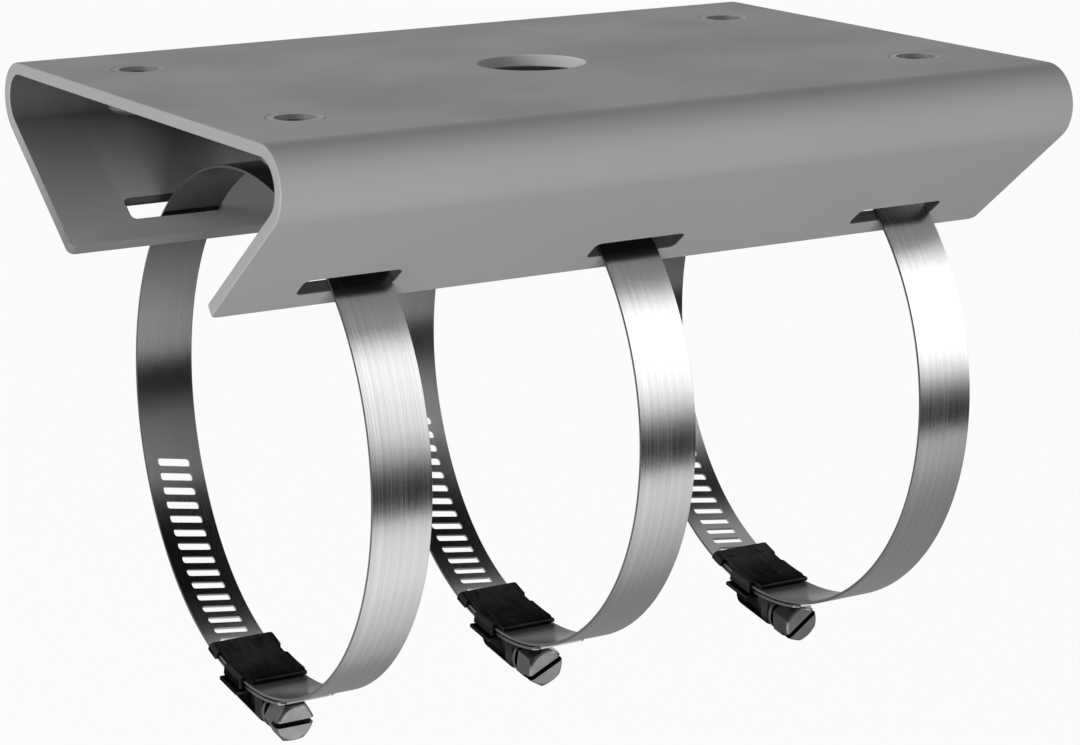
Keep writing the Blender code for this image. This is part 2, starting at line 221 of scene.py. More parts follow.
# %% [markdown]
# ## The table
# The bracket hangs over a plain pale table. To the camera the paper on it glows almost white, as
# an overexposed studio sweep does, and the rest of its light is real, so a shadow still shows.
# Bright steel mirrors the table too: to mirrors the paper glows with a painted pool of light,
# lightest on the left and in front, where the lamps stand, fading to the right and bright again
# far at the back.

# %% Table
FLOOR_HEIGHT = -0.20
TABLE_FRONT = -0.41
TABLE_BACK = 3.0
TABLE_HALF_WIDTH = 3.0
PAPER_GREY = 0.36
PAPER_GLOW = 0.955
MIRRORED_LEFT = 1.16
MIRRORED_RIGHT = 0.30

table_mesh = bpy.data.meshes.new("studio_table")
table_mesh.from_pydata([(side * TABLE_HALF_WIDTH, edge, FLOOR_HEIGHT) for side, edge in (
    (-1, TABLE_FRONT), (1, TABLE_FRONT), (1, TABLE_BACK), (-1, TABLE_BACK))], [], [(0, 1, 2, 3)])
table = link_object("studio_table", table_mesh)

paper, tree, shader = new_finish("studio_paper")
feed(shader.inputs["Base Color"], (PAPER_GREY, PAPER_GREY, PAPER_GREY, 1))
feed(shader.inputs["Roughness"], 0.9)
seen, glossy = ray_kinds(tree)
across, away, _ = split(tree, object_place(tree))
# painted light: to mirrors the paper's glow falls off from the left front to the right
painted_glow = remap(across + away, -0.12, 0.06, MIRRORED_LEFT, MIRRORED_RIGHT)
level = between(glossy, 1.0, painted_glow.larger(remap(away, 0.10, 0.50)))
glow = term(tree, "ShaderNodeEmission", {1: level})
lit = mix_shaders(seen.larger(glossy) * PAPER_GLOW, shader.outputs[0], glow)
feed(tree.nodes["Material Output"].inputs[0], lit)
table_mesh.materials.append(paper)
print("table at", FLOOR_HEIGHT, "front edge at", TABLE_FRONT)

# %% [markdown]
# ## The lamps
# Three soft boxes. The left one stands higher than the plate: it lights the channel's end and the
# far wall of its cable hole, and leaves the roof of the channel in shade. The low one in front
# lights the near flange, which faces down. Mirrors see the dome and the table, not the boxes.

# %% Lamps


def soft_box(name, place, width, depth, watts):
    """A rectangular lamp that looks at the middle of the bracket."""
    data = bpy.data.lights.new(name, "AREA")
    lamp = link_object(
        name, set_up(data, shape="RECTANGLE", size=width, size_y=depth, energy=watts))
    aim = (-Vector(place)).to_track_quat("-Z", "Y")
    lamp.matrix_world = Matrix.Translation(place) @ aim.to_matrix().to_4x4()
    lamp.visible_glossy = False


soft_box("left_box", (-1.35, 0.0, 0.34), 0.7, 0.7, 15.0)
soft_box("low_front_box", (-0.32, -1.25, -0.40), 0.7, 0.35, 19.5)
soft_box("overhead_box", (0.0, -0.65, 1.45), 1.0, 1.0, 3.2)
print("lamps 3")

# %% [markdown]
# ## The dome
# Bright steel is only as lively as what it mirrors. The dome is plain white to the camera and
# grey to dull surfaces, darker below. To mirrors it is white behind the bracket and a dim room in
# front, where a large bright window hangs on the right. The straps mirror the window as their
# highlight, and the dark gap between it and the table's front edge as their dark stripe.

# %% Dome
DOME_GREY = 0.30
WINDOW_LEVEL = 2.0
ROOM_STEPS = [(0.0, 0.40), (0.30, 0.01), (0.44, 0.01), (0.52, 0.20), (0.72, 0.26),
              (0.80, 0.06), (1.0, 0.02)]
WINDOW_STEPS = [(0.0, 0.0), (0.39, 0.0), (0.44, 0.12), (0.475, 0.45), (0.55, 0.92), (0.60, 1.0),
                (0.785, 1.0), (0.815, 0.60), (0.84, 0.15), (0.865, 0.0), (1.0, 0.0)]
DULL_STEPS = [(0.0, 0.15), (0.45, 0.15), (0.60, 1.0), (1.0, 1.0)]
WHITE = (1, 1, 1, 1)


def grey_ramp(value, steps):
    """A ramp of greys over a number from 0 to 1."""
    node = add_node(value.tree, "ShaderNodeValToRGB", {0: value})
    while len(node.color_ramp.elements) < len(steps):
        node.color_ramp.elements.new(0.5)
    for element, (position, level) in zip(node.color_ramp.elements, steps):
        element.position = position
        element.color = (level, level, level, 1)
    return Term(node.outputs[0])


def soft_step(value, low, high):
    """Rise smoothly from 0 to 1 between two angles."""
    return remap(value, radians(low), radians(high), shape="SMOOTHSTEP")


def background(tree, colour, strength):
    """Light that comes from the world."""
    return term(tree, "ShaderNodeBackground", {0: colour, 1: strength})


world = bpy.data.worlds.new("studio_dome")
scene.world = world
world.use_nodes = True
tree = world.node_tree
tree.nodes.clear()
x, y, z = split(tree, term(tree, "ShaderNodeTexCoord", output="Generated"))
height = z * 0.5 + 0.5
azimuth = x.step("ARCTAN2", y * -1.0)
in_front = 1.0 - soft_step(abs(azimuth), 75.0, 105.0)
window_side = soft_step(azimuth, 17.0, 38.0) - soft_step(azimuth, 58.0, 80.0)
room = between(in_front, 1.0, grey_ramp(height, ROOM_STEPS))
window = grey_ramp(height, WINDOW_STEPS) * window_side
mirrored = background(tree, WHITE, window * WINDOW_LEVEL + room)
dull = background(tree, grey_ramp(height, DULL_STEPS), DOME_GREY)
seen, glossy = ray_kinds(tree)
lit = mix_shaders(seen, mix_shaders(glossy, dull, mirrored), background(tree, WHITE, 1.0))
add_node(tree, "ShaderNodeOutputWorld", {0: lit})
print("dome: room", len(ROOM_STEPS), "steps, window", len(WINDOW_STEPS), "steps")

# %% [markdown]
# ## Effects that several finishes share
# `coat_grain` is the fine pebble and the faint clouds of a coat or a rolled sheet,
# `rolling_streaks` the long fine lines that rolling leaves, drawn on a strip's own length and
# width, and `handling_marks` the few hair scratches and smudges of every handled piece. They give
# out only numbers, and each finish uses them its own way.

# %% Shared effects


def shader_group(name, numbers, outputs):
    """An empty shader group: a place and some numbers go in, numbers come out."""
    group = bpy.data.node_groups.new(name, "ShaderNodeTree")
    group.interface.new_socket("Vector", in_out="INPUT", socket_type="NodeSocketVector")
    for way, labels in (("INPUT", numbers), ("OUTPUT", outputs)):
        for label in labels:
            group.interface.new_socket(label, in_out=way, socket_type="NodeSocketFloat")
    given = terms(group.nodes.new("NodeGroupInput").outputs)
    return group, given, group.nodes.new("NodeGroupOutput").inputs


def noise(place, scale, detail):
    """Smooth noise from 0 to 1 at a place."""
    return term(place.tree, "ShaderNodeTexNoise", {
        "Vector": place, "Scale": scale, "Detail": detail})


def stretched(place, scales, turn=0.0):
    """A pattern's place, turned about Z and stretched along the axes."""
    turned = term(place.tree, "ShaderNodeVectorRotate", {"Vector": place, "Angle": turn})
    return term(place.tree, "ShaderNodeVectorMath", {0: turned, 1: scales}, operation="MULTIPLY")


COAT_GRAIN, given, result = shader_group("coat_grain", ["Grain", "Cloud"], ["Height", "Cloud"])
feed(result["Height"], noise(given["Vector"], given["Grain"], 2.0))
feed(result["Cloud"], remap(noise(given["Vector"], given["Cloud"], 4.0), 0.30, 0.70))

ROLLING_STREAKS, given, result = shader_group("rolling_streaks", [], ["Fine", "Broad"])
fine = noise(stretched(given["Vector"], (14.0, 5200.0, 1.0)), 1.0, 3.0)
broad = noise(stretched(given["Vector"], (5.0, 900.0, 1.0)), 1.0, 2.0)
feed(result["Fine"], remap(fine, 0.25, 0.75))
feed(result["Broad"], remap(broad, 0.30, 0.70))

HANDLING_MARKS, given, result = shader_group("handling_marks", [], ["Scratches", "Smudges"])
scratches = [
    remap(noise(stretched(given["Vector"], scales, turn), 1.0, 1.0), 0.74, 0.80)
    for turn, scales in ((0.5, (90.0, 2600.0, 90.0)), (-0.9, (110.0, 2100.0, 110.0)))]
feed(result["Scratches"], scratches[0].larger(scratches[1]))
feed(result["Smudges"], remap(noise(given["Vector"], 38.0, 3.0), 0.38, 0.68))
print("shared effects", [group.name for group in (COAT_GRAIN, ROLLING_STREAKS, HANDLING_MARKS)])

# %% [markdown]
# ## Parts that every finish is put together from
# A finish here is one Principled shader. Its colour is a blend of near tones, its roughness a
# range, and its relief a stack of Bump nodes. These helpers wire that, so that each finish reads
# as a short recipe: every line lays one more tone over the colour so far.

# %% Finish helpers


def use_group(tree, group, **inputs):
    """Place a shared effect in a finish."""
    return terms(add_node(tree, "ShaderNodeGroup", inputs, node_tree=group).outputs)


def marked(tree, label):
    """A value that was stored on the mesh under a name."""
    return term(tree, "ShaderNodeAttribute", output="Fac", attribute_name=label)


def strip_place(tree):
    """The piece's own UV map: its length and width, or its turn and length."""
    return term(tree, "ShaderNodeUVMap", uv_map="UVMap")


def tone(share, first, second):
    """Blend two colours by a number; a plain number stands for a grey."""
    node = add_node(share.tree, "ShaderNodeMix", {0: share}, data_type="RGBA")
    for socket, colour in ((node.inputs[6], first), (node.inputs[7], second)):
        if isinstance(colour, float):
            colour = (colour, colour, colour)
        feed(socket, colour if isinstance(colour, Term) else (*colour, 1.0))
    return Term(node.outputs[2])


def finish_shader(shader, values, layers):
    """Feed a shader by name, and stack bumps of height, strength and depth on its normal."""
    for label, value in values.items():
        feed(shader.inputs[label], value)
    normal = None
    for height, strength, depth in layers:
        bump = add_node(shader.id_data, "ShaderNodeBump", {
            "Height": height, "Strength": strength, "Distance": depth})
        if normal is not None:
            feed(bump.inputs["Normal"], normal)
        normal = bump.outputs[0]
    feed(shader.inputs["Normal"], normal)


print("finish helpers ready")

# %% [markdown]
# ## The channel's coat
# A satin mid-grey coat over steel, nearly even: a fine pebble that only shows in the highlights,
# faint clouds, and a thinner, lighter line along the cut edges, where a coat pulls back. The
# walls of the band slots are painted nearly black, as painted shade, and the wall of the cable
# hole is painted pale, as a painted highlight. The roof of the channel, the inside of its bends
# and, in part, the edges of the far flange get a nearly black painted shade. The folded sheet
# stores these four masks.

# %% Coat of the channel
COAT, tree, shader = new_finish("satin_grey_coat")
place = object_place(tree)
grain = use_group(tree, COAT_GRAIN, Vector=place, Grain=1500.0, Cloud=24.0)
marks = use_group(tree, HANDLING_MARKS, Vector=place)
colour = tone(grain["Cloud"], (0.254, 0.255, 0.256), (0.264, 0.265, 0.266))
colour = tone(marked(tree, "cut_edge") * 0.25, colour, 0.40)
colour = tone(marks["Scratches"] * 0.10, colour, 0.40)
# painted shade: the walls of the band slots turn nearly black
colour = tone(marked(tree, "slot_wall") * 0.9, colour, 0.02)
# painted highlight: the wall of the cable hole is made pale
colour = tone(marked(tree, "hole_wall") * 0.8, colour, 0.56)
# painted shade: nearly black on the roof, inside the bends and on the far flange's edges
patchy_roof_shade = marked(tree, "thin_coat") * remap(grain["Cloud"], 0.0, 1.0, 0.80, 0.95)
colour = tone(patchy_roof_shade, colour, (0.035, 0.035, 0.036))
finish_shader(shader, {
    "Base Color": colour, "Metallic": 0.0, "Specular IOR Level": 0.06,
    "Roughness": remap(marks["Smudges"], 0.0, 1.0, 0.42, 0.52)},
    [(grain["Height"], 0.25, 0.00006)])
print("finish", COAT.name)

# %% [markdown]
# ## The bands' steel
# Rolled stainless strip. Its streaks are drawn on the strip's own UV map, which holds length and
# width from before it was bent, so they curve with it. They change the roughness and the relief
# more than the colour. The inner face is painted darker, as painted shade, and beside the drive,
# near the start of the strip, it turns dull and nearly black, a patch of painted shade. The slit
# edges are rough and dark.

# %% Steel of the bands
SLIT_EDGE = 0.00623               # from the middle of the strip to its slit edges
DRIVE_SHADE_ENDS = (0.034, 0.060)       # the painted shade beside the drive fades between these lengths of strip

BAND_STEEL, tree, shader = new_finish("rolled_band_steel")
strip = strip_place(tree)
streaks = use_group(tree, ROLLING_STREAKS, Vector=strip)
marks = use_group(tree, HANDLING_MARKS, Vector=strip)
grain = use_group(tree, COAT_GRAIN, Vector=object_place(tree), Grain=2600.0, Cloud=30.0)
along, across, _ = split(tree, strip)
inner = marked(tree, "inner_face")
drive_shade = inner * remap(along, *DRIVE_SHADE_ENDS, 0.92, 0.0)
slit = abs(across) > SLIT_EDGE
colour = tone(streaks["Broad"], (0.54, 0.54, 0.535), (0.68, 0.68, 0.675))
colour = tone(streaks["Fine"] * 0.5, colour, (0.72, 0.72, 0.71))
colour = tone(grain["Cloud"] * 0.20, colour, 0.50)
# painted shade: the inner face is darker
colour = tone(inner * 0.90, colour, 0.20)
# painted shade beside the drive, dulled to non-metal so that it mirrors little
colour = tone(drive_shade, colour, 0.05)
colour = tone(slit * 0.85, colour, 0.13)
rough = slit * 0.25 + remap(streaks["Fine"], 0.0, 1.0, 0.15, 0.26)
finish_shader(shader, {
    "Base Color": colour, "Metallic": 1.0 - drive_shade, "Specular IOR Level": 0.05,
    "Roughness": marks["Smudges"] * 0.05 + rough},
    [(streaks["Fine"], 0.20, 0.00003), (marks["Scratches"], 0.15, 0.00002)])
print("finish", BAND_STEEL.name)

# %% [markdown]
# ## The drive's steel
# Saddle and housing are pressed from darker strip. Pressing draws the surface, so it is duller,
# with short drawn lines and small clouds.

# %% Steel of the drive
DRIVE_STEEL, tree, shader = new_finish("pressed_drive_steel")
place = object_place(tree)
grain = use_group(tree, COAT_GRAIN, Vector=place, Grain=2200.0, Cloud=160.0)
marks = use_group(tree, HANDLING_MARKS, Vector=place)
drawn = noise(stretched(place, (2600.0, 180.0, 180.0)), 1.0, 2.0)
colour = tone(grain["Cloud"], (0.022, 0.022, 0.023), (0.038, 0.038, 0.039))
colour = tone(remap(drawn, 0.35, 0.75, 0.0, 0.35), colour, 0.075)
finish_shader(shader, {
    "Base Color": colour, "Metallic": 1.0, "Specular Tint": (0.25, 0.25, 0.25, 1),
    "Roughness": remap(marks["Smudges"], 0.0, 1.0, 0.30, 0.42)},
    [(drawn, 0.20, 0.00004), (grain["Height"], 0.20, 0.00003)])
print("finish", DRIVE_STEEL.name)

# %% [markdown]
# ## The screws' steel
# The screws are turned, so a fine ring pattern runs round them, along the V of their UV map. Only
# the face of the head keeps the bright steel; below it the flats and the rest of the screw are
# darkened, as painted shade.

# %% Steel of the screws
SCREW_TIP = 0.0154                # from the worm's middle to the face of the head

SCREW_STEEL, tree, shader = new_finish("turned_screw_steel")
turned_place = strip_place(tree)
grain = use_group(tree, COAT_GRAIN, Vector=object_place(tree), Grain=2400.0, Cloud=300.0)
rings = noise(stretched(turned_place, (0.6, 6500.0, 1.0)), 1.0, 2.0)
_, along, _ = split(tree, turned_place)
colour = tone(grain["Cloud"], (0.25, 0.25, 0.252), (0.34, 0.34, 0.342))
colour = tone(remap(rings, 0.35, 0.70, 0.0, 0.4), colour, 0.44)
# painted shade: everything below the face of the head is darkened
colour = tone(remap(along, SCREW_TIP - 0.0004, SCREW_TIP - 0.0001, 0.80, 0.0), colour, 0.05)
finish_shader(shader, {
    "Base Color": colour, "Metallic": 1.0, "Roughness": remap(rings, 0.3, 0.7, 0.22, 0.36)},
    [(rings, 0.15, 0.00003)])
print("finish", SCREW_STEEL.name)

# %% [markdown]
# ## The inserts' zinc
# Dull zinc plate, with soft spangles. The channel was coated after the inserts were pressed in,
# so their upper faces carry its coat. The height says where it begins.

# %% Zinc of the inserts
COATED_FROM = (0.0675, 0.0678)    # the coat begins between these heights

ZINC, tree, shader = new_finish("dull_zinc")
place = object_place(tree)
grain = use_group(tree, COAT_GRAIN, Vector=place, Grain=2000.0, Cloud=420.0)
marks = use_group(tree, HANDLING_MARKS, Vector=place)
_, _, height = split(tree, place)
coated = remap(height, *COATED_FROM)
colour = tone(grain["Cloud"], (0.17, 0.17, 0.168), (0.23, 0.23, 0.228))
finish_shader(shader, {
    "Base Color": tone(coated, colour, 0.178), "Metallic": 1.0 - coated,
    "Roughness": remap(marks["Smudges"], 0.0, 1.0, 0.42, 0.55)},
    [(grain["Height"], 0.2, 0.00004)])
print("finish", ZINC.name)

# %% [markdown]
# ## Growing a piece with Geometry Nodes
# Several pieces follow a rule: the sheet folds, the strip repeats its pitch and winds, the thread
# climbs. Each rule is a Geometry Nodes tree with named inputs for its sizes. It runs once on a
# blank mesh, and the result is kept as a plain mesh, so that the finished piece needs no tree.
# Inputs are set by the socket's identifier before the first run.

# %% Growing helpers


def growing_tree(name, numbers, others=()):
    """A tree with geometry in and out, numbers and other inputs by name, and a material."""
    tree = bpy.data.node_groups.new(name, "GeometryNodeTree")
    for label, kind in (("Geometry", "Geometry"), *((number, "Float") for number in numbers),
                        *others, ("Finish", "Material")):
        tree.interface.new_socket(label, in_out="INPUT", socket_type="NodeSocket" + kind)
    tree.interface.new_socket("Geometry", in_out="OUTPUT", socket_type="NodeSocketGeometry")
    return tree, terms(tree.nodes.new("NodeGroupInput").outputs)


def end_tree(geometry, finish):
    """Close a tree: make its copies real, give the finish, and put it out."""
    tree = geometry.tree
    real = term(tree, "GeometryNodeRealizeInstances", {0: geometry})
    dressed = term(tree, "GeometryNodeSetMaterial", {"Geometry": real, "Material": finish})
    feed(tree.nodes.new("NodeGroupOutput").inputs[0], dressed)


def place_axes(tree):
    """The position of a point as three numbers."""
    return split(tree, term(tree, "GeometryNodeInputPosition"))


def move_to(geometry, x, y, z):
    """Put every point where three computed numbers say."""
    return term(geometry.tree, "GeometryNodeSetPosition", {
        "Geometry": geometry, "Position": join(geometry.tree, x, y, z)})


def keep_value(geometry, label, value, data_type="FLOAT", domain="POINT"):
    """Store a value on the mesh under a name, for a finish to read."""
    node = add_node(geometry.tree, "GeometryNodeStoreNamedAttribute", {
        "Geometry": geometry, "Name": label}, data_type=data_type, domain=domain)
    feed(next(s for s in node.inputs if s.name == "Value" and s.enabled), value)
    return Term(node.outputs[0])


def mesh_from(bm, name, smooth=True):
    """A mesh of a finished bmesh."""
    mesh = bpy.data.meshes.new(name)
    bm.to_mesh(mesh)
    bm.free()
    if smooth:
        mesh.shade_smooth()
    return mesh


def plain_result(thing):
    """Turn an object with modifiers into one with a plain mesh."""
    graph = bpy.context.evaluated_depsgraph_get()
    mesh = bpy.data.meshes.new_from_object(
        thing.evaluated_get(graph), preserve_all_data_layers=True, depsgraph=graph)
    thing.modifiers.clear()
    thing.data = mesh
    mesh.name = thing.name
    return mesh


def add_rule(thing, tree, finish, sizes):
    """Put a tree on an object with its inputs set by identifier."""
    rule = set_up(thing.modifiers.new(tree.name, "NODES"), node_group=tree)
    values = {**sizes, "Finish": finish}
    for item in tree.interface.items_tree:
        if item.in_out == "INPUT" and item.name in values:
            rule[item.identifier] = values[item.name]


def hand_in(piece, node, body):
    """Hide the CAD part that a finished piece takes the place of, and hang the piece on what it
    moves with.
    """
    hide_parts(node)
    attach(piece, body)
    spans = zip(*(vertex.co for vertex in piece.data.vertices))
    size = [round((max(span) - min(span)) * 1000, 1) for span in spans]
    print(piece.name, len(piece.data.polygons), "faces", size, "mm")


# %% [markdown]
# ## The folded channel
# The real plate is punched flat, with its holes and slots in place, and then folded along its two
# long edges until the flanges lean in to the pole. Modelled straight in its folded shape, its
# slots would have to be cut through slanted walls. So a flat filled curve gives the blank with
# its broken edges, straight score lines give the bend enough points, and a tree folds it. The
# fold keeps the length of the sheet's middle layer, as a press brake does.

# %% Sizes of the sheet
PLATE_LENGTH = 0.176
PLATE_WIDTH = 0.128
PLATE_CORNER = 0.0015
SHEET = 0.0025
EDGE_BREAK = 0.0003
BEND_INNER_RADIUS = 0.0055
BEND_ANGLE = radians(142.0)
BEND_ROWS = 30
FACE_TO_LOOP_AXIS = 0.0686
CLEARANCE = 0.0003
HAIR = 0.000001                   # two numbers nearer than this are the same
SLOT_PLACE = 0.0625
SLOT_LENGTH = 0.0200
SLOT_HEIGHT = 0.0054
SLOT_CORNER = 0.0012
SLOT_EDGE_PAST_BEND = 0.029567
SLOT_WEB = 0.0056
BOLT_ALONG = 0.0705
BOLT_ACROSS = 0.0350
CABLE_HOLE_RADIUS = 0.011
NUT_SHANK_RADIUS = 0.0052

NEUTRAL_RADIUS = BEND_INNER_RADIUS + SHEET / 2
BEND_RUN = NEUTRAL_RADIUS * BEND_ANGLE
FLAT_HALF = PLATE_WIDTH / 2 - BEND_INNER_RADIUS - SHEET
SLOT_RUN = FLAT_HALF + BEND_RUN + SLOT_EDGE_PAST_BEND - SLOT_HEIGHT / 2
HALF_BLANK = FLAT_HALF + BEND_RUN + SLOT_EDGE_PAST_BEND + SLOT_WEB
BOLTS = [(x * BOLT_ALONG, y * BOLT_ACROSS) for x in (-1, 1) for y in (-1, 1)]
print("flange", round((SLOT_EDGE_PAST_BEND + SLOT_WEB) * 1000, 2), "mm past the bend")

# %% The flat blank


def rounded_outline(centre, half_length, half_height, radius, steps):
    """Points of a rectangle with round corners."""
    points = []
    for corner, (side_x, side_y) in enumerate(((1, 1), (-1, 1), (-1, -1), (1, -1))):
        for step in range(steps + 1):
            turn = (corner + step / steps) * pi / 2
            points.append((
                centre[0] + side_x * (half_length - radius) + radius * cos(turn),
                centre[1] + side_y * (half_height - radius) + radius * sin(turn)))
    return points


def round_outline(centre, radius, sides):
    """Points of a circle."""
    turns = [2 * pi * side / sides for side in range(sides)]
    return [(centre[0] + radius * cos(turn), centre[1] + radius * sin(turn)) for turn in turns]


def flat_blank(name, outlines):
    """A flat sheet with holes and slightly rounded edges, as a bmesh."""
    curve = set_up(
        bpy.data.curves.new(name, "CURVE"), dimensions="2D", fill_mode="BOTH",
        extrude=SHEET / 2 - EDGE_BREAK, bevel_depth=EDGE_BREAK, bevel_resolution=2,
        offset=-EDGE_BREAK)
    for outline in outlines:
        spline = curve.splines.new("POLY")
        spline.points.add(len(outline) - 1)
        for point, (x, y) in zip(spline.points, outline):
            point.co = (x, y, 0.0, 1.0)
        spline.use_cyclic_u = True
    flat = link_object(name, curve)
    graph = bpy.context.evaluated_depsgraph_get()
    bm = bmesh.new()
    bm.from_mesh(bpy.data.meshes.new_from_object(flat.evaluated_get(graph)))
    discard(flat)
    bmesh.ops.remove_doubles(bm, verts=bm.verts, dist=HAIR)
    bmesh.ops.recalc_face_normals(bm, faces=bm.faces)
    return bm


outlines = [rounded_outline((0, 0), PLATE_LENGTH / 2, HALF_BLANK, PLATE_CORNER, 8)]
outlines.append(round_outline((0, 0), CABLE_HOLE_RADIUS, 96))
outlines += [round_outline(bolt, NUT_SHANK_RADIUS + CLEARANCE, 56) for bolt in BOLTS]
outlines += [
    rounded_outline((along, run), SLOT_LENGTH / 2, SLOT_HEIGHT / 2, SLOT_CORNER, 6)
    for along in (-SLOT_PLACE, 0.0, SLOT_PLACE) for run in (-SLOT_RUN, SLOT_RUN)]
blank = flat_blank("channel_blank", outlines)
for side in (1, -1):
    for step in range(BEND_ROWS + 1):
        bmesh.ops.bisect_plane(
            blank, geom=blank.verts[:] + blank.edges[:] + blank.faces[:], dist=HAIR,
            plane_co=(0, side * (FLAT_HALF + BEND_RUN * step / BEND_ROWS), 0),
            plane_no=(0, 1, 0))
channel = link_object("folded_channel", mesh_from(blank, "channel_blank"))
print("blank", len(channel.data.polygons), "faces")

# %% [markdown]
# ## Folding it
# On the flat blank, `run` is a point's way from the middle line. What lies past the flat face
# goes round the bend, and what lies past the bend goes straight on. While the place on the flat
# blank is still known, four masks for the coat are stored with each point: the cut edges, and
# where shade and a highlight are painted.

# %% The folding rule
SLOT_BAND = (0.018, 0.032)        # the slots lie between these ways past the bend
SLOT_ENDS = 0.080                 # and no further than this from the middle
ROOF_FADE = 0.010                 # the painted shade on the roof fades out over this way past the bend
EDGE_FADE = 0.006                 # and fades in over this way on the far flange's edges
EDGE_SHARE = 0.60                 # how much of it those edges get
RIM_SHARE = 0.97                  # nearer to the middle layer than this is a cut edge
HOLE_REACH = CABLE_HOLE_RADIUS + 0.0002

fold_sizes = {
    "Flat Half": FLAT_HALF, "Neutral Radius": NEUTRAL_RADIUS, "Bend Angle": BEND_ANGLE,
    "Middle Height": FACE_TO_LOOP_AXIS - SHEET / 2, "Sheet": SHEET}
FOLD, given = growing_tree("fold_long_edges", fold_sizes)
x, run, lift = place_axes(FOLD)
neutral = given["Neutral Radius"]
side = run.step("SIGN")
reach = abs(run)
past_flat = (reach - given["Flat Half"]).larger(0.0)
in_bend = past_flat.smaller(neutral * given["Bend Angle"])
past_bend = past_flat - in_bend
turn = in_bend / neutral
sine, cosine = turn.step("SINE"), turn.step("COSINE")
layer = neutral + lift
y = side * (reach.smaller(given["Flat Half"]) + layer * sine + past_bend * cosine)
z = layer * cosine + given["Middle Height"] - neutral - past_bend * sine

rim = abs(lift) / (given["Sheet"] / 2.0) < RIM_SHARE
# where shade is painted in the slots, and a highlight in the cable hole
in_slots = (past_bend > SLOT_BAND[0]) * (past_bend < SLOT_BAND[1]) * (abs(x) < SLOT_ENDS)
in_hole = (x * x + run * run).step("SQRT") < HOLE_REACH
# where shade is painted on the roof and inside the bends, and on the far flange's edges
roof = (lift < 0.0) * (1.0 - rim) * remap(past_bend, 0.0, ROOF_FADE, 1.0, 0.0)
far_edge = (side > 0.0) * rim * EDGE_SHARE * remap(past_bend, 0.0, EDGE_FADE)
sheet = given["Geometry"]
for label, mask in (("cut_edge", rim), ("slot_wall", in_slots * rim),
                    ("hole_wall", in_hole * rim), ("thin_coat", roof.larger(far_edge))):
    sheet = keep_value(sheet, label, mask)
end_tree(move_to(sheet, x, y, z), given["Finish"])

add_rule(channel, FOLD, COAT, fold_sizes)
set_up(channel.modifiers.new("even_light", "WEIGHTED_NORMAL"), weight=80)
plain_result(channel)
hand_in(channel, "bracket_plate", "bracket")

# %% [markdown]
# ## Threads and flats
# A screw starts as a turned blank; its thread is rolled in, and the six flats of its head are
# pressed. The tree does the same to plain rings: where the thread runs, a point moves in to the
# radius that the helix asks for, and on the head it moves in to the flat. A helix swept along a
# curve would need its ends closed by hand; a rule on the radius fades the thread out by itself.

# %% The threading rule
FLANK = 0.55                      # the cosine's range over which a thread's flank rises
UV_PER_RADIAN = 0.004             # metres of UV map for one radian of turn

CUT, given = growing_tree("cut_thread_and_flats", [
    "Thread From", "Thread To", "Pitch", "Root Radius", "Crest Radius", "Thread Reach", "Run Out",
    "Flats From", "Across Flats"])
x, y, z = place_axes(CUT)
radius = (x * x + y * y).step("SQRT")
turn = y.step("ARCTAN2", x)
phase = z / given["Pitch"] * (2 * pi) - turn
into = remap(z - given["Thread From"], 0.0, given["Run Out"])
out_of = remap(given["Thread To"] - z, 0.0, given["Run Out"])
ridge = remap(phase.step("COSINE"), -FLANK, FLANK) * into.smaller(out_of)
threaded = ridge * (given["Crest Radius"] - given["Root Radius"]) + given["Root Radius"]
on_thread = (z > given["Thread From"] - HAIR) * (z < given["Thread To"] + HAIR)
on_thread = on_thread * (radius < given["Thread Reach"])
new_radius = remap(on_thread, 0.0, 1.0, radius, threaded)
within = turn.step("FLOORED_MODULO", pi / 3) - pi / 6
flat = given["Across Flats"] / 2.0 / within.step("COSINE")
on_head = z > given["Flats From"] - HAIR
new_radius = remap(on_head, 0.0, 1.0, new_radius, new_radius.smaller(flat))
scale = new_radius / radius.larger(HAIR)
mapped = keep_value(
    given["Geometry"], "UVMap", join(CUT, turn * UV_PER_RADIAN, z), "FLOAT2", "CORNER")
end_tree(move_to(mapped, x * scale, y * scale, z), given["Finish"])


def turned_blank(name, profile, sides, closed):
    """Rings of points from a profile of height and radius; a closed profile makes a ring."""
    bm = bmesh.new()
    rows = [[bm.verts.new((x, y, along)) for x, y in round_outline((0, 0), radius, sides)]
            for along, radius in profile]
    if not closed:
        bm.faces.new(reversed(rows[0]))
        bm.faces.new(rows[-1])
    higher = rows[1:] + rows[:1] if closed else rows[1:]
    for low, high in zip(rows, higher):
        for side in range(sides):
            bm.faces.new((low[side - 1], low[side], high[side], high[side - 1]))
    bmesh.ops.recalc_face_normals(bm, faces=bm.faces)
    return mesh_from(bm, name)


def stations(low, high, count):
    """Evenly spaced heights from one to the other, both kept."""
    return [low + (high - low) * row / count for row in range(count + 1)]


print("threading tree", len(CUT.nodes), "nodes")

# %% [markdown]
# ## The threaded inserts
# Under each fixing hole sits a round clinch nut: its shank is pressed in the plate, flush with
# the outer face, and its body stands inside the channel. The blank is one closed ring profile,
# and the threading tree cuts an M8 thread in its bore.

# %% Threaded inserts
NUT_BODY_RADIUS = 0.00635
NUT_BODY_HEIGHT = 0.0055
NUT_BORE_RADIUS = 0.0034
NUT_THREAD_ROOT = 0.0039
NUT_PITCH = 0.00125
NUT_SEAM = 0.00005
NUT_EDGE = 0.0002
NUT_BREAK = 0.0006
NUT_RUN_OUT = 0.0006
NUT_SIDES = 40
BORE_ROWS = 56
NUT_TOP = FACE_TO_LOOP_AXIS - NUT_SEAM
NUT_PRESSED_RADIUS = NUT_SHANK_RADIUS + 0.00025
NUT_SEAT = FACE_TO_LOOP_AXIS - SHEET - CLEARANCE
NUT_FOOT = NUT_SEAT - NUT_BODY_HEIGHT

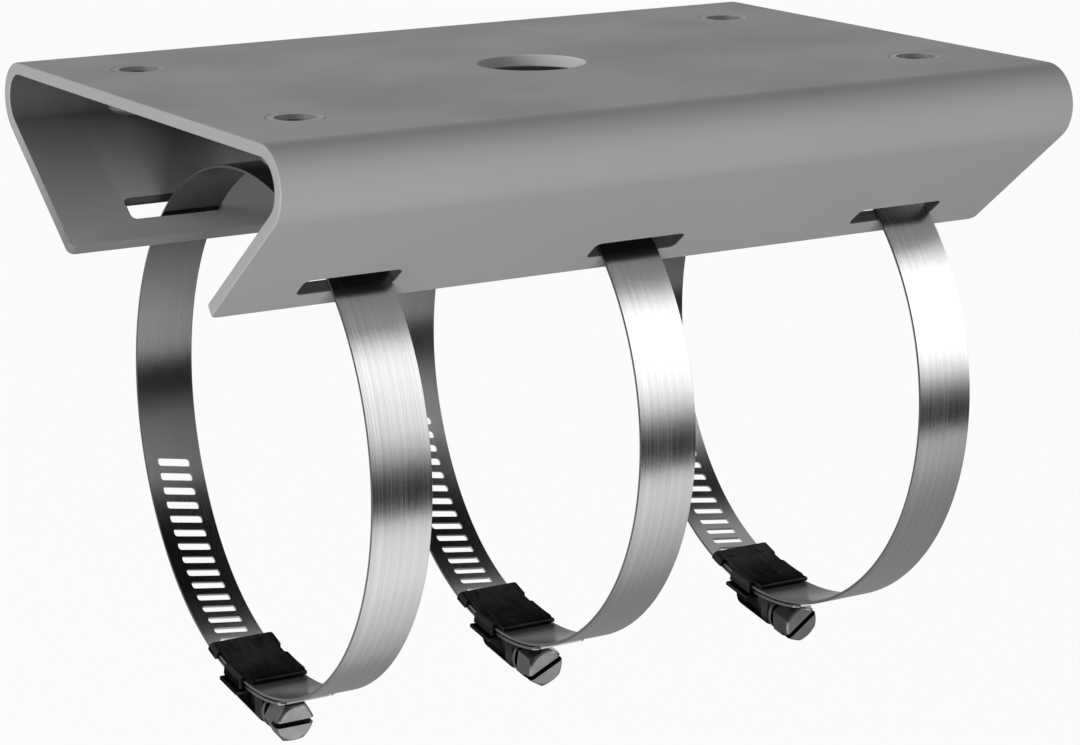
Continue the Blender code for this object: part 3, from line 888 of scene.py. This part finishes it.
bore_from = NUT_FOOT + NUT_BREAK
bore_to = NUT_TOP - NUT_BREAK
profile = [
    (NUT_TOP, NUT_BORE_RADIUS + NUT_BREAK), (NUT_TOP, NUT_PRESSED_RADIUS - NUT_SEAM),
    (NUT_TOP - NUT_SEAM, NUT_PRESSED_RADIUS), (NUT_SEAT, NUT_PRESSED_RADIUS),
    (NUT_SEAT, NUT_BODY_RADIUS - NUT_EDGE), (NUT_SEAT - NUT_EDGE, NUT_BODY_RADIUS),
    (bore_from, NUT_BODY_RADIUS), (NUT_FOOT, NUT_BODY_RADIUS - NUT_BREAK),
    (NUT_FOOT, NUT_BORE_RADIUS + NUT_BREAK)]
profile += [(along, NUT_BORE_RADIUS) for along in stations(bore_from, bore_to, BORE_ROWS)]
for number, (x, y) in enumerate(BOLTS, start=1):
    nut_blank = turned_blank("insert_blank", profile, NUT_SIDES, True)
    nut = link_object(f"threaded_insert_{number}", nut_blank)
    add_rule(nut, CUT, ZINC, {
        "Thread From": bore_from, "Thread To": bore_to, "Pitch": NUT_PITCH,
        "Root Radius": NUT_THREAD_ROOT, "Crest Radius": NUT_BORE_RADIUS,
        "Thread Reach": NUT_BORE_RADIUS + 0.0001, "Run Out": NUT_RUN_OUT, "Flats From": 1.0,
        "Across Flats": 1.0})
    mesh = plain_result(nut)
    mesh.transform(Matrix.Translation((x, y, 0.0)))
    mesh.set_sharp_from_angle(angle=radians(32.0))
    hand_in(nut, f"clinch_nut_{number}", "bracket")

# %% [markdown]
# ## Where each clamp is
# The clamps hang in their slots, and each loop is drawn up a little differently. The packed
# joints know their places: a clamp turns about its loop's centre, and its screw about the worm's
# axis, so the two give the loop's size and the angle at which the worm sits.

# %% Clamp places
BAND_THICKNESS = 0.0006
LAYER_STEP = BAND_THICKNESS + CLEARANCE
BANDS_HEIGHT = LAYER_STEP + BAND_THICKNESS
WORM_CREST_RADIUS = 0.0034
WORM_ROOT_RADIUS = 0.0026

clamps = []
for number in (1, 2, 3):
    centre = Vector(JOINTS[f"clamp_{number}_turn"]["pos_m"])
    worm = Vector(JOINTS[f"screw_{number}_spin"]["pos_m"])
    along = Vector(JOINTS[f"screw_{number}_spin"]["axis"]).normalized()
    outward = (worm - centre).normalized()
    turn = Matrix((outward.cross(along), outward, along)).transposed().to_4x4()
    clamp = SimpleNamespace(
        number=number, body=f"clamp_{number}", centre=centre,
        angle=atan2(outward.z, outward.y) % (2 * pi),
        loop_radius=(worm - centre).length - BANDS_HEIGHT - CLEARANCE - WORM_CREST_RADIUS,
        worm_frame=Matrix.Translation(worm) @ turn)
    clamps.append(clamp)
    print("clamp", number, "loop", round(clamp.loop_radius * 2000, 2), "mm, worm at",
          round(degrees(clamp.angle), 1), "degrees")

# %% [markdown]
# ## The punched strip
# A band is one strip of stainless steel, with slanted slots punched in its last stretch at the
# worm's own pitch. It is built from cells: a plain one, a punched one, and one with a round end.
# Each is a thin closed box without its two ends, so that neighbours weld into one strip.
# Repeating a small cell keeps the mesh even, and every slot has properly round ends.

# %% Strip cells
BAND_WIDTH = 0.0127
STRIP_EDGE = 0.00012
STRIP_HALF = BAND_WIDTH / 2 - STRIP_EDGE
STRIP_INNER_ROWS = [-0.0041, -0.0027, -0.0014, 0.0, 0.0014, 0.0027, 0.0041]
END_LENGTH = 0.0032
END_CORNER = 0.0015
END_CURVE = END_LENGTH - END_CORNER


def same(first, second):
    """Two lengths that only differ by rounding."""
    return abs(first - second) < 1e-7


def strip_walls(bm, open_ends, half_width):
    """Give a flat cell its thickness: two skins, chamfered long edges and straight slot walls."""
    top = BAND_THICKNESS / 2
    shoulder = top - STRIP_EDGE
    flat_faces = bm.faces[:]
    flat_verts = bm.verts[:]
    rims = [edge for edge in bm.edges if len(edge.link_faces) == 1]
    columns = {v: [bm.verts.new((v.co.x, v.co.y, top)), bm.verts.new((v.co.x, v.co.y, -top))]
               for v in flat_verts}
    for face in flat_faces:
        bm.faces.new([columns[v][0] for v in face.verts])
        bm.faces.new([columns[v][1] for v in reversed(face.verts)])
    for v in {v: None for edge in rims for v in edge.verts}:
        if same(abs(v.co.y), half_width(v.co.x)):
            y = v.co.y + (STRIP_EDGE if v.co.y > 0 else -STRIP_EDGE)
            columns[v][1:1] = [bm.verts.new((v.co.x, y, z)) for z in (shoulder, -shoulder)]
    for edge in rims:
        if any(all(same(v.co.x, end) for v in edge.verts) for end in open_ends):
            continue
        left, right = (columns[v] for v in edge.verts)
        if len(left) != len(right):
            left, right = left[::len(left) - 1], right[::len(right) - 1]
        for row in range(len(left) - 1):
            bm.faces.new((left[row], right[row], right[row + 1], left[row + 1]))
    bmesh.ops.delete(bm, geom=flat_verts, context="VERTS")
    bmesh.ops.recalc_face_normals(bm, faces=bm.faces)


def grid_faces(bm, columns, rows_at):
    """Quads between columns of points; rows_at gives the rows of each column."""
    grid = [[bm.verts.new((x, y, 0.0)) for y in rows_at(x)] for x in columns]
    for left, right in zip(grid, grid[1:]):
        for row in range(len(left) - 1):
            bm.faces.new((left[row], right[row], right[row + 1], left[row + 1]))


def whole_cell(name, columns, half_width, open_ends):
    """A cell without a slot, as an object that is only copied, never shown."""
    bm = bmesh.new()
    grid_faces(bm, columns, lambda x: [-half_width(x), *STRIP_INNER_ROWS, half_width(x)])
    strip_walls(bm, open_ends, half_width)
    return link_object(name, mesh_from(bm, name))


def end_half(x):
    """Half the width of the strip; it only shrinks near the round end."""
    into = max(x - END_CURVE, 0.0)
    return STRIP_HALF - END_CORNER + sqrt(max(END_CORNER ** 2 - into ** 2, 0.0))


plain_cell = whole_cell(
    "plain_cell", [-0.5, -0.1667, 0.1667, 0.5], lambda x: STRIP_HALF, (-0.5, 0.5))
curved = [END_CURVE + END_CORNER * sin(pi / 2 * step / 6) for step in range(1, 7)]
end_cell = whole_cell("end_cell", [0.0, 0.0010, END_CURVE, *curved], end_half, (0.0,))
print("cells", len(plain_cell.data.polygons), "and", len(end_cell.data.polygons), "faces")

# %% The punched cell
THREAD_PITCH = 0.00317
HOLE_LENGTH = 0.0070
HOLE_WIDTH = 0.0016
HOLE_ROUND = 0.0005


def punched_cell(name, pitch):
    """A cell with one slanted slot, the shape that the worm's thread needs."""
    half = pitch / 2
    slope = THREAD_PITCH / (pi * (WORM_CREST_RADIUS + WORM_ROOT_RADIUS))
    rows = STRIP_INNER_ROWS
    rim = [-half, -half / 3, half / 3, half]
    ring = [(x, rows[0]) for x in rim[:-1]] + [(half, y) for y in rows[:-1]]
    ring += [(x, rows[-1]) for x in reversed(rim[1:])] + [(-half, y) for y in reversed(rows[1:])]
    hole = [(x + y * slope, y) for x, y in rounded_outline(
        (0, 0), HOLE_WIDTH / 2, HOLE_LENGTH / 2, HOLE_ROUND, 4)]
    bm = bmesh.new()
    edges = []
    for points in (ring, hole):
        verts = [bm.verts.new((x, y, 0.0)) for x, y in points]
        edges += [bm.edges.new((verts[i - 1], verts[i])) for i in range(len(verts))]
    bmesh.ops.triangle_fill(bm, edges=edges, use_beauty=True)
    for border in ((-STRIP_HALF, rows[0]), (rows[-1], STRIP_HALF)):
        grid_faces(bm, rim, lambda x: border)
    bmesh.ops.remove_doubles(bm, verts=bm.verts, dist=HAIR)
    bmesh.ops.recalc_face_normals(bm, faces=bm.faces)
    if sum(face.normal.z for face in bm.faces) < 0:
        bmesh.ops.reverse_faces(bm, faces=bm.faces)
    strip_walls(bm, (-half, half), lambda x: STRIP_HALF)
    return link_object(name, mesh_from(bm, name))


print("slot", HOLE_LENGTH * 1000, "by", HOLE_WIDTH * 1000, "mm")

# %% [markdown]
# ## Winding the strip
# The tree lays the cells on a line, welds them, and winds the line on a spiral: length becomes
# angle, and the radius climbs by one layer just before the strip meets its own start, so that the
# punched end can lie on the plain end inside the saddle. Before that, every point's length and
# width are kept as the UV map, so that the rolling streaks follow the strip.

# %% The winding rule
SADDLE_BACK = 0.0107
TAIL_ANGLE = radians(22.0)
TAIL_MARGIN = 0.0030
PUNCHED_ANGLE = radians(60.0)
RISE_FROM = radians(62.0)
RISE_TO = radians(20.0)
WELD = 0.000004

WIND, given = growing_tree("wind_punched_strip", [
    "Loop Radius", "Worm Angle", "Back", "Thickness", "Layer Step", "Rise From", "Rise To",
    "Plain Length", "Pitch", "Tail Start", "Place X", "Place Z"],
    [("Plain Count", "Int"), ("Punched Count", "Int"),
     ("Plain Cell", "Object"), ("End Cell", "Object")])


def row_of(count, start, step, shape, scale_x=1.0):
    """Copies of a cell along a line."""
    tree = shape.tree
    line = term(tree, "GeometryNodeMeshLine", {
        "Count": count, "Start Location": join(tree, start), "Offset": join(tree, step)})
    return term(tree, "GeometryNodeInstanceOnPoints", {
        "Points": line, "Instance": shape, "Scale": join(tree, scale_x, 1.0, 1.0)})


plain, tail = (
    term(WIND, "GeometryNodeObjectInfo", {"Object": given[label]}, "Geometry")
    for label in ("Plain Cell", "End Cell"))
plain_length, pitch = given["Plain Length"], given["Pitch"]
punched_start = pitch * 0.5 + given["Plain Count"] * plain_length
joined = add_node(WIND, "GeometryNodeJoinGeometry")
for row in (row_of(1, given["Tail Start"], 0.0, tail),
            row_of(given["Punched Count"], punched_start, pitch, given["Geometry"]),
            row_of(given["Plain Count"], plain_length / 2.0, plain_length, plain, plain_length)):
    feed(joined.inputs[0], row)
real = term(WIND, "GeometryNodeRealizeInstances", {0: joined.outputs[0]})
strip = term(WIND, "GeometryNodeMergeByDistance", {"Geometry": real, "Distance": WELD})
length, width, lift = place_axes(WIND)
strip = keep_value(strip, "UVMap", join(WIND, length, width), "FLOAT2", "CORNER")
strip = keep_value(strip, "inner_face", lift < 0.0)
per_radian = given["Thickness"] * 0.5 + given["Loop Radius"]
wound = length / per_radian
back_angle = given["Back"] / given["Loop Radius"]
before_worm = back_angle + 2 * pi - wound
rise = remap(before_worm, given["Rise From"], given["Rise To"], shape="SMOOTHSTEP")
radius = given["Layer Step"] * rise + (per_radian + lift)
angle = given["Worm Angle"] + back_angle - wound
strip = move_to(strip, width + given["Place X"], radius * angle.step("COSINE"),
                radius * angle.step("SINE") + given["Place Z"])
end_tree(term(WIND, "GeometryNodeFlipFaces", {0: strip}), given["Finish"])
print("winding tree", len(WIND.nodes), "nodes")

# %% [markdown]
# ## The three bands
# A wound sheet of short cells would glint from cell to cell. The true direction of a rolled
# strip's face is known exactly: straight away from the loop's centre. So that direction is set as
# the normal of both faces, and the narrow edges keep their own.

# %% Bands
FACE_COSINE = 0.9                 # a face that looks this much along the spoke is no edge


def true_normals(mesh, centre):
    """Point the normals of a band's two faces straight away from the loop's centre."""
    def spoke(point):
        away = point - centre
        away.x = 0.0
        return away.normalized()

    normals = [None] * len(mesh.loops)
    for face in mesh.polygons:
        facing = face.normal.dot(spoke(face.center))
        for index in face.loop_indices:
            normals[index] = face.normal.copy()
            if abs(facing) > FACE_COSINE:
                corner = mesh.vertices[mesh.loops[index].vertex_index].co
                normals[index] = spoke(corner) * (1 if facing > 0 else -1)
    mesh.normals_split_custom_set(normals)


for clamp in clamps:
    per_radian = clamp.loop_radius + BAND_THICKNESS / 2
    worm_place = (2 * pi + SADDLE_BACK / clamp.loop_radius) * per_radian
    pitch_angle = THREAD_PITCH / (per_radian + LAYER_STEP)
    pitch = pitch_angle * per_radian
    first = -ceil(PUNCHED_ANGLE / pitch_angle)
    last = int((TAIL_ANGLE * per_radian - TAIL_MARGIN) / pitch)
    plain_stretch = worm_place + (first - 0.5) * pitch
    plain_count = ceil(plain_stretch / pitch)
    tail_start = worm_place + (last + 0.5) * pitch
    stretch = (worm_place + TAIL_ANGLE * per_radian - tail_start) / END_LENGTH
    end_cell.data.transform(Matrix.Diagonal((stretch, 1, 1, 1)))
    source = punched_cell("punched_cell", pitch)
    band = link_object(f"band_{clamp.number}", source.data)
    add_rule(band, WIND, BAND_STEEL, {
        "Loop Radius": clamp.loop_radius, "Worm Angle": clamp.angle, "Back": SADDLE_BACK,
        "Thickness": BAND_THICKNESS, "Layer Step": LAYER_STEP, "Rise From": RISE_FROM,
        "Rise To": RISE_TO, "Plain Length": plain_stretch / plain_count, "Pitch": pitch,
        "Tail Start": tail_start, "Place X": clamp.centre.x, "Place Z": clamp.centre.z,
        "Plain Count": plain_count, "Punched Count": last - first + 1,
        "Plain Cell": plain_cell, "End Cell": end_cell})
    true_normals(plain_result(band), clamp.centre)
    end_cell.data.transform(Matrix.Diagonal((1 / stretch, 1, 1, 1)))
    discard(source)
    hand_in(band, clamp.body + "_band", clamp.body)
discard(plain_cell, end_cell)

# %% [markdown]
# ## The worm screws
# Worm, collar and slotted hexagon head are one turned piece. The profile gives the journals, the
# collar and the head's cone; the threading tree cuts the worm and the flats. Where the flats meet
# the cone they leave the curved chamfer of every real hexagon head. The driver slot is a plain
# Boolean cut.

# %% Worm screws
HOUSING_BACK = 0.0058
HOUSING_FRONT = 0.0079
HOUSING_NECK = 0.0012
HOUSING_SHOULDER = 0.0009
HOUSING_SHEET = 0.0008
JOURNAL_RADIUS = 0.0023
COLLAR_RADIUS = 0.0042
COLLAR_THICKNESS = 0.0009
SCREW_EDGE = 0.00015
HEAD_NECK = 0.0006
HEAD_ACROSS_FLATS = 0.0079
HEAD_CORNER_RADIUS = HEAD_ACROSS_FLATS / sqrt(3)
HEAD_FOOT = 0.0004
HEAD_CONE = (0.0008, 0.0010)      # its height, and how far it comes in
CONE_ROWS = 14
WORM_ROWS = 52
WORM_STEP = 0.00002               # the journals stop this far from the worm
WORM_RUN_OUT = 0.0008
SCREW_SIDES = 96
DRIVER_SLOT_WIDTH = 0.0012
DRIVER_SLOT_DEPTH = 0.0020
SCREW_TURNS = (0.0, 28.0, 40.0)

inner_end = HOUSING_NECK + HOUSING_SHOULDER + HOUSING_SHEET / 2
thread_from = inner_end - HOUSING_BACK
thread_to = HOUSING_FRONT - inner_end
collar_from = HOUSING_FRONT + CLEARANCE
collar_to = collar_from + COLLAR_THICKNESS
head_from = collar_to + HEAD_NECK
cone_from = SCREW_TIP - HEAD_CONE[0]
profile = [
    (-HOUSING_BACK, JOURNAL_RADIUS - SCREW_EDGE), (SCREW_EDGE - HOUSING_BACK, JOURNAL_RADIUS),
    (thread_from - WORM_STEP, JOURNAL_RADIUS)]
profile += [(along, WORM_CREST_RADIUS) for along in stations(thread_from, thread_to, WORM_ROWS)]
profile += [
    (thread_to + WORM_STEP, JOURNAL_RADIUS), (collar_from, JOURNAL_RADIUS),
    (collar_from, COLLAR_RADIUS - SCREW_EDGE), (collar_from + SCREW_EDGE, COLLAR_RADIUS),
    (collar_to - SCREW_EDGE, COLLAR_RADIUS), (collar_to, COLLAR_RADIUS - SCREW_EDGE),
    (collar_to, JOURNAL_RADIUS), (head_from, JOURNAL_RADIUS),
    (head_from, HEAD_ACROSS_FLATS / 2 - SCREW_EDGE)]
profile += [(along, HEAD_CORNER_RADIUS)
            for along in stations(head_from + HEAD_FOOT, cone_from, 6)]
profile += [(cone_from + HEAD_CONE[0] * row / CONE_ROWS,
             HEAD_CORNER_RADIUS - HEAD_CONE[1] * row / CONE_ROWS)
            for row in range(1, CONE_ROWS + 1)]

for clamp, turned in zip(clamps, SCREW_TURNS):
    screw_blank = turned_blank("screw_blank", profile, SCREW_SIDES, False)
    screw = link_object(f"worm_screw_{clamp.number}", screw_blank)
    add_rule(screw, CUT, SCREW_STEEL, {
        "Thread From": thread_from, "Thread To": thread_to, "Pitch": THREAD_PITCH,
        "Root Radius": WORM_ROOT_RADIUS, "Crest Radius": WORM_CREST_RADIUS, "Thread Reach": 1.0,
        "Run Out": WORM_RUN_OUT, "Flats From": head_from, "Across Flats": HEAD_ACROSS_FLATS})
    bm = bmesh.new()
    bmesh.ops.create_cube(bm, size=1.0)
    bmesh.ops.scale(bm, vec=(0.02, DRIVER_SLOT_WIDTH, 2 * DRIVER_SLOT_DEPTH), verts=bm.verts)
    bmesh.ops.translate(bm, vec=(0, 0, SCREW_TIP), verts=bm.verts)
    cutter = link_object("driver_slot_cutter", mesh_from(bm, "driver_slot_cutter", False))
    set_up(screw.modifiers.new("driver_slot", "BOOLEAN"),
           operation="DIFFERENCE", object=cutter)
    mesh = plain_result(screw)
    discard(cutter)
    mesh.transform(clamp.worm_frame @ Matrix.Rotation(radians(turned), 4, "Z"))
    mesh.set_sharp_from_angle(angle=radians(28.0))
    hand_in(screw, clamp.body + "_screw", f"screw_{clamp.number}")

# %% [markdown]
# ## Pressed sheet pieces
# Saddle and housing are small pressings: a row of cross-sections with a skin between them. Faces
# that the press tool cuts away are left out, Solidify gives the skin its thickness, and a narrow
# Bevel breaks the edges, because a bare sharp edge never catches the light as steel does.

# %% Pressing helpers


def pressed_sheet(clamp, kind, sections, left_out, thickness, place):
    """A thin pressed piece through a row of cross-sections."""
    bm = bmesh.new()
    rows = [[bm.verts.new(point) for point in section] for section in sections]
    for row, (low, high) in enumerate(zip(rows, rows[1:])):
        for column in range(len(low) - 1):
            if not left_out(row, column):
                bm.faces.new((low[column], low[column + 1], high[column + 1], high[column]))
    bmesh.ops.delete(bm, geom=[v for v in bm.verts if not v.link_faces], context="VERTS")
    bmesh.ops.recalc_face_normals(bm, faces=bm.faces)
    name = f"{kind}_{clamp.number}"
    piece = link_object(name, mesh_from(bm, name))
    piece.data.materials.append(DRIVE_STEEL)
    set_up(piece.modifiers.new("sheet", "SOLIDIFY"),
           thickness=thickness, offset=0.0, use_even_offset=True)
    set_up(piece.modifiers.new("broken_edges", "BEVEL"),
           width=0.00010, segments=2, limit_method="ANGLE", angle_limit=radians(55.0))
    mesh = plain_result(piece)
    mesh.transform(place)
    mesh.set_sharp_from_angle(angle=radians(40.0))
    hand_in(piece, f"{clamp.body}_{kind}", clamp.body)


def even_places(stops, step):
    """Places along a piece that include every stop and are never further apart than a step."""
    places = [stops[0]]
    for low, high in zip(stops, stops[1:]):
        places += stations(low, high, ceil((high - low) / step - 0.001))[1:]
    return places


def from_side(column, points):
    """How many faces a column lies in from the nearer long side of a skin."""
    return min(column, points - 2 - column)


print("pressing helpers ready")

# %% [markdown]
# ## The saddles
# The saddle lies inside the loop, under both layers of the band. At the back two low ears guide
# the strip, and two round stakes fix the band's plain end to it; they are pushed out of the skin
# with a smooth bell shape. Higher walls stand under the housing's feet.

# %% Saddles
SADDLE_SHEET = 0.0008
SADDLE_FRONT = 0.0075
SADDLE_EARS = 0.0036
SADDLE_WALL_BACK = 0.0030
SADDLE_WALL_FRONT = 0.0043
SADDLE_WALL_MIDDLE = 0.0011
SADDLE_BEND = 0.0008
SADDLE_RIBS = 22
STAKE_PLACES = [(-0.0036, -0.0085), (0.0036, -0.0085)]
STAKE_RADIUS = 0.0010
STAKE_DEPTH = 0.00022
SADDLE_STEP = 0.00045
WALL_COLUMNS = 8                  # columns of the skin in a wall with its bend
EAR_CUT = 2                       # and how many of them are cut off above an ear


def saddle_outline(loop_radius):
    """Half walls, two round bends and the floor of the saddle: across, and radius."""
    side = BAND_WIDTH / 2 + CLEARANCE + SADDLE_SHEET / 2
    floor = loop_radius - CLEARANCE - SADDLE_SHEET / 2
    bend_x, bend_radius = side - SADDLE_BEND, floor + SADDLE_BEND
    half = [(side, loop_radius + height)
            for height in (BANDS_HEIGHT, SADDLE_WALL_MIDDLE, BAND_THICKNESS)]
    half += [(bend_x + SADDLE_BEND * cos(turn), bend_radius + SADDLE_BEND * sin(turn))
             for turn in stations(0.0, -pi / 2, 5)]
    flat = [(x, floor) for x in stations(bend_x, -bend_x, SADDLE_RIBS)[1:-1]]
    return half + flat + [(-x, radius) for x, radius in reversed(half)]


def stake(across, along):
    """How far the stakes lift the saddle's skin at one place."""
    away = min(hypot(across - x, along - z) for x, z in STAKE_PLACES) / STAKE_RADIUS
    return STAKE_DEPTH * (1 - min(away, 1.0) ** 2) ** 2


ear_end = SADDLE_EARS - SADDLE_BACK
saddle_places = even_places(
    [-SADDLE_BACK, ear_end, -SADDLE_WALL_BACK, SADDLE_WALL_FRONT, SADDLE_FRONT], SADDLE_STEP)
for clamp in clamps:
    outline = saddle_outline(clamp.loop_radius)
    sections = []
    for along in saddle_places:
        turn = clamp.angle - along / clamp.loop_radius
        lifted = [(x, radius + stake(x, along)) for x, radius in outline]
        sections.append([(x, radius * cos(turn), radius * sin(turn)) for x, radius in lifted])

    def cut_away(row, column):
        """Wall faces that are missing between the ears and the housing's seat."""
        middle = (saddle_places[row] + saddle_places[row + 1]) / 2
        if -SADDLE_WALL_BACK < middle < SADDLE_WALL_FRONT:
            return False
        cut_off = EAR_CUT if middle < ear_end else WALL_COLUMNS
        return from_side(column, len(outline)) < cut_off

    pressed_sheet(clamp, "saddle", sections, cut_away, SADDLE_SHEET,
                  Matrix.Translation(clamp.centre))

# %% [markdown]
# ## The housings
# A pressed arch over the worm, with two flat feet beside it and a narrow collar at each end that
# holds the screw's journals. The arch's radius falls from wide to narrow on a smooth step, as
# drawn sheet does, instead of a straight cone.

# %% Housings
FEET_WIDTH = 0.0165
FEET_BACK = 0.0032
FEET_FRONT = 0.0045
FOOT_COLUMNS = (0.0, 0.0013, 0.0026)
ARCH_STEPS = 26
HOUSING_STEP = 0.0004

wide = WORM_CREST_RADIUS + CLEARANCE + HOUSING_SHEET / 2
narrow = JOURNAL_RADIUS + CLEARANCE + HOUSING_SHEET / 2
foot = HOUSING_SHEET / 2 - WORM_CREST_RADIUS


def arch_radius(along):
    """Radius of the arch at one place along the worm."""
    from_end = min(along + HOUSING_BACK, HOUSING_FRONT - along) - HOUSING_NECK
    share = min(max(from_end / HOUSING_SHOULDER, 0.0), 1.0)
    return narrow + (wide - narrow) * share * share * (3 - 2 * share)


def no_foot(row, column):
    """Beyond the feet only the arch is left."""
    middle = (housing_places[row] + housing_places[row + 1]) / 2
    beside = from_side(column, len(housing_sections[0])) < len(FOOT_COLUMNS)
    return beside and not -FEET_BACK < middle < FEET_FRONT


neck_back = HOUSING_NECK - HOUSING_BACK
neck_front = HOUSING_FRONT - HOUSING_NECK
housing_places = even_places([
    -HOUSING_BACK, neck_back, neck_back + HOUSING_SHOULDER, -FEET_BACK, FEET_FRONT,
    neck_front - HOUSING_SHOULDER, neck_front, HOUSING_FRONT], HOUSING_STEP)
housing_sections = []
for along in housing_places:
    arch = arch_radius(along)
    feet = [*(inset - FEET_WIDTH / 2 for inset in FOOT_COLUMNS), -arch]
    section = [(x, foot) for x in feet]
    section += [(arch * cos(turn), arch * sin(turn)) for turn in stations(pi, 0.0, ARCH_STEPS)]
    section += [(-x, foot) for x in reversed(feet)]
    housing_sections.append([(x, height, along) for x, height in section])
for clamp in clamps:
    pressed_sheet(clamp, "housing", housing_sections, no_foot, HOUSING_SHEET, clamp.worm_frame)

# %% [markdown]
# ## The view
# The picture uses the plain Standard view, so colours render as they are written.

# %% View
scene.view_settings.view_transform = "Standard"
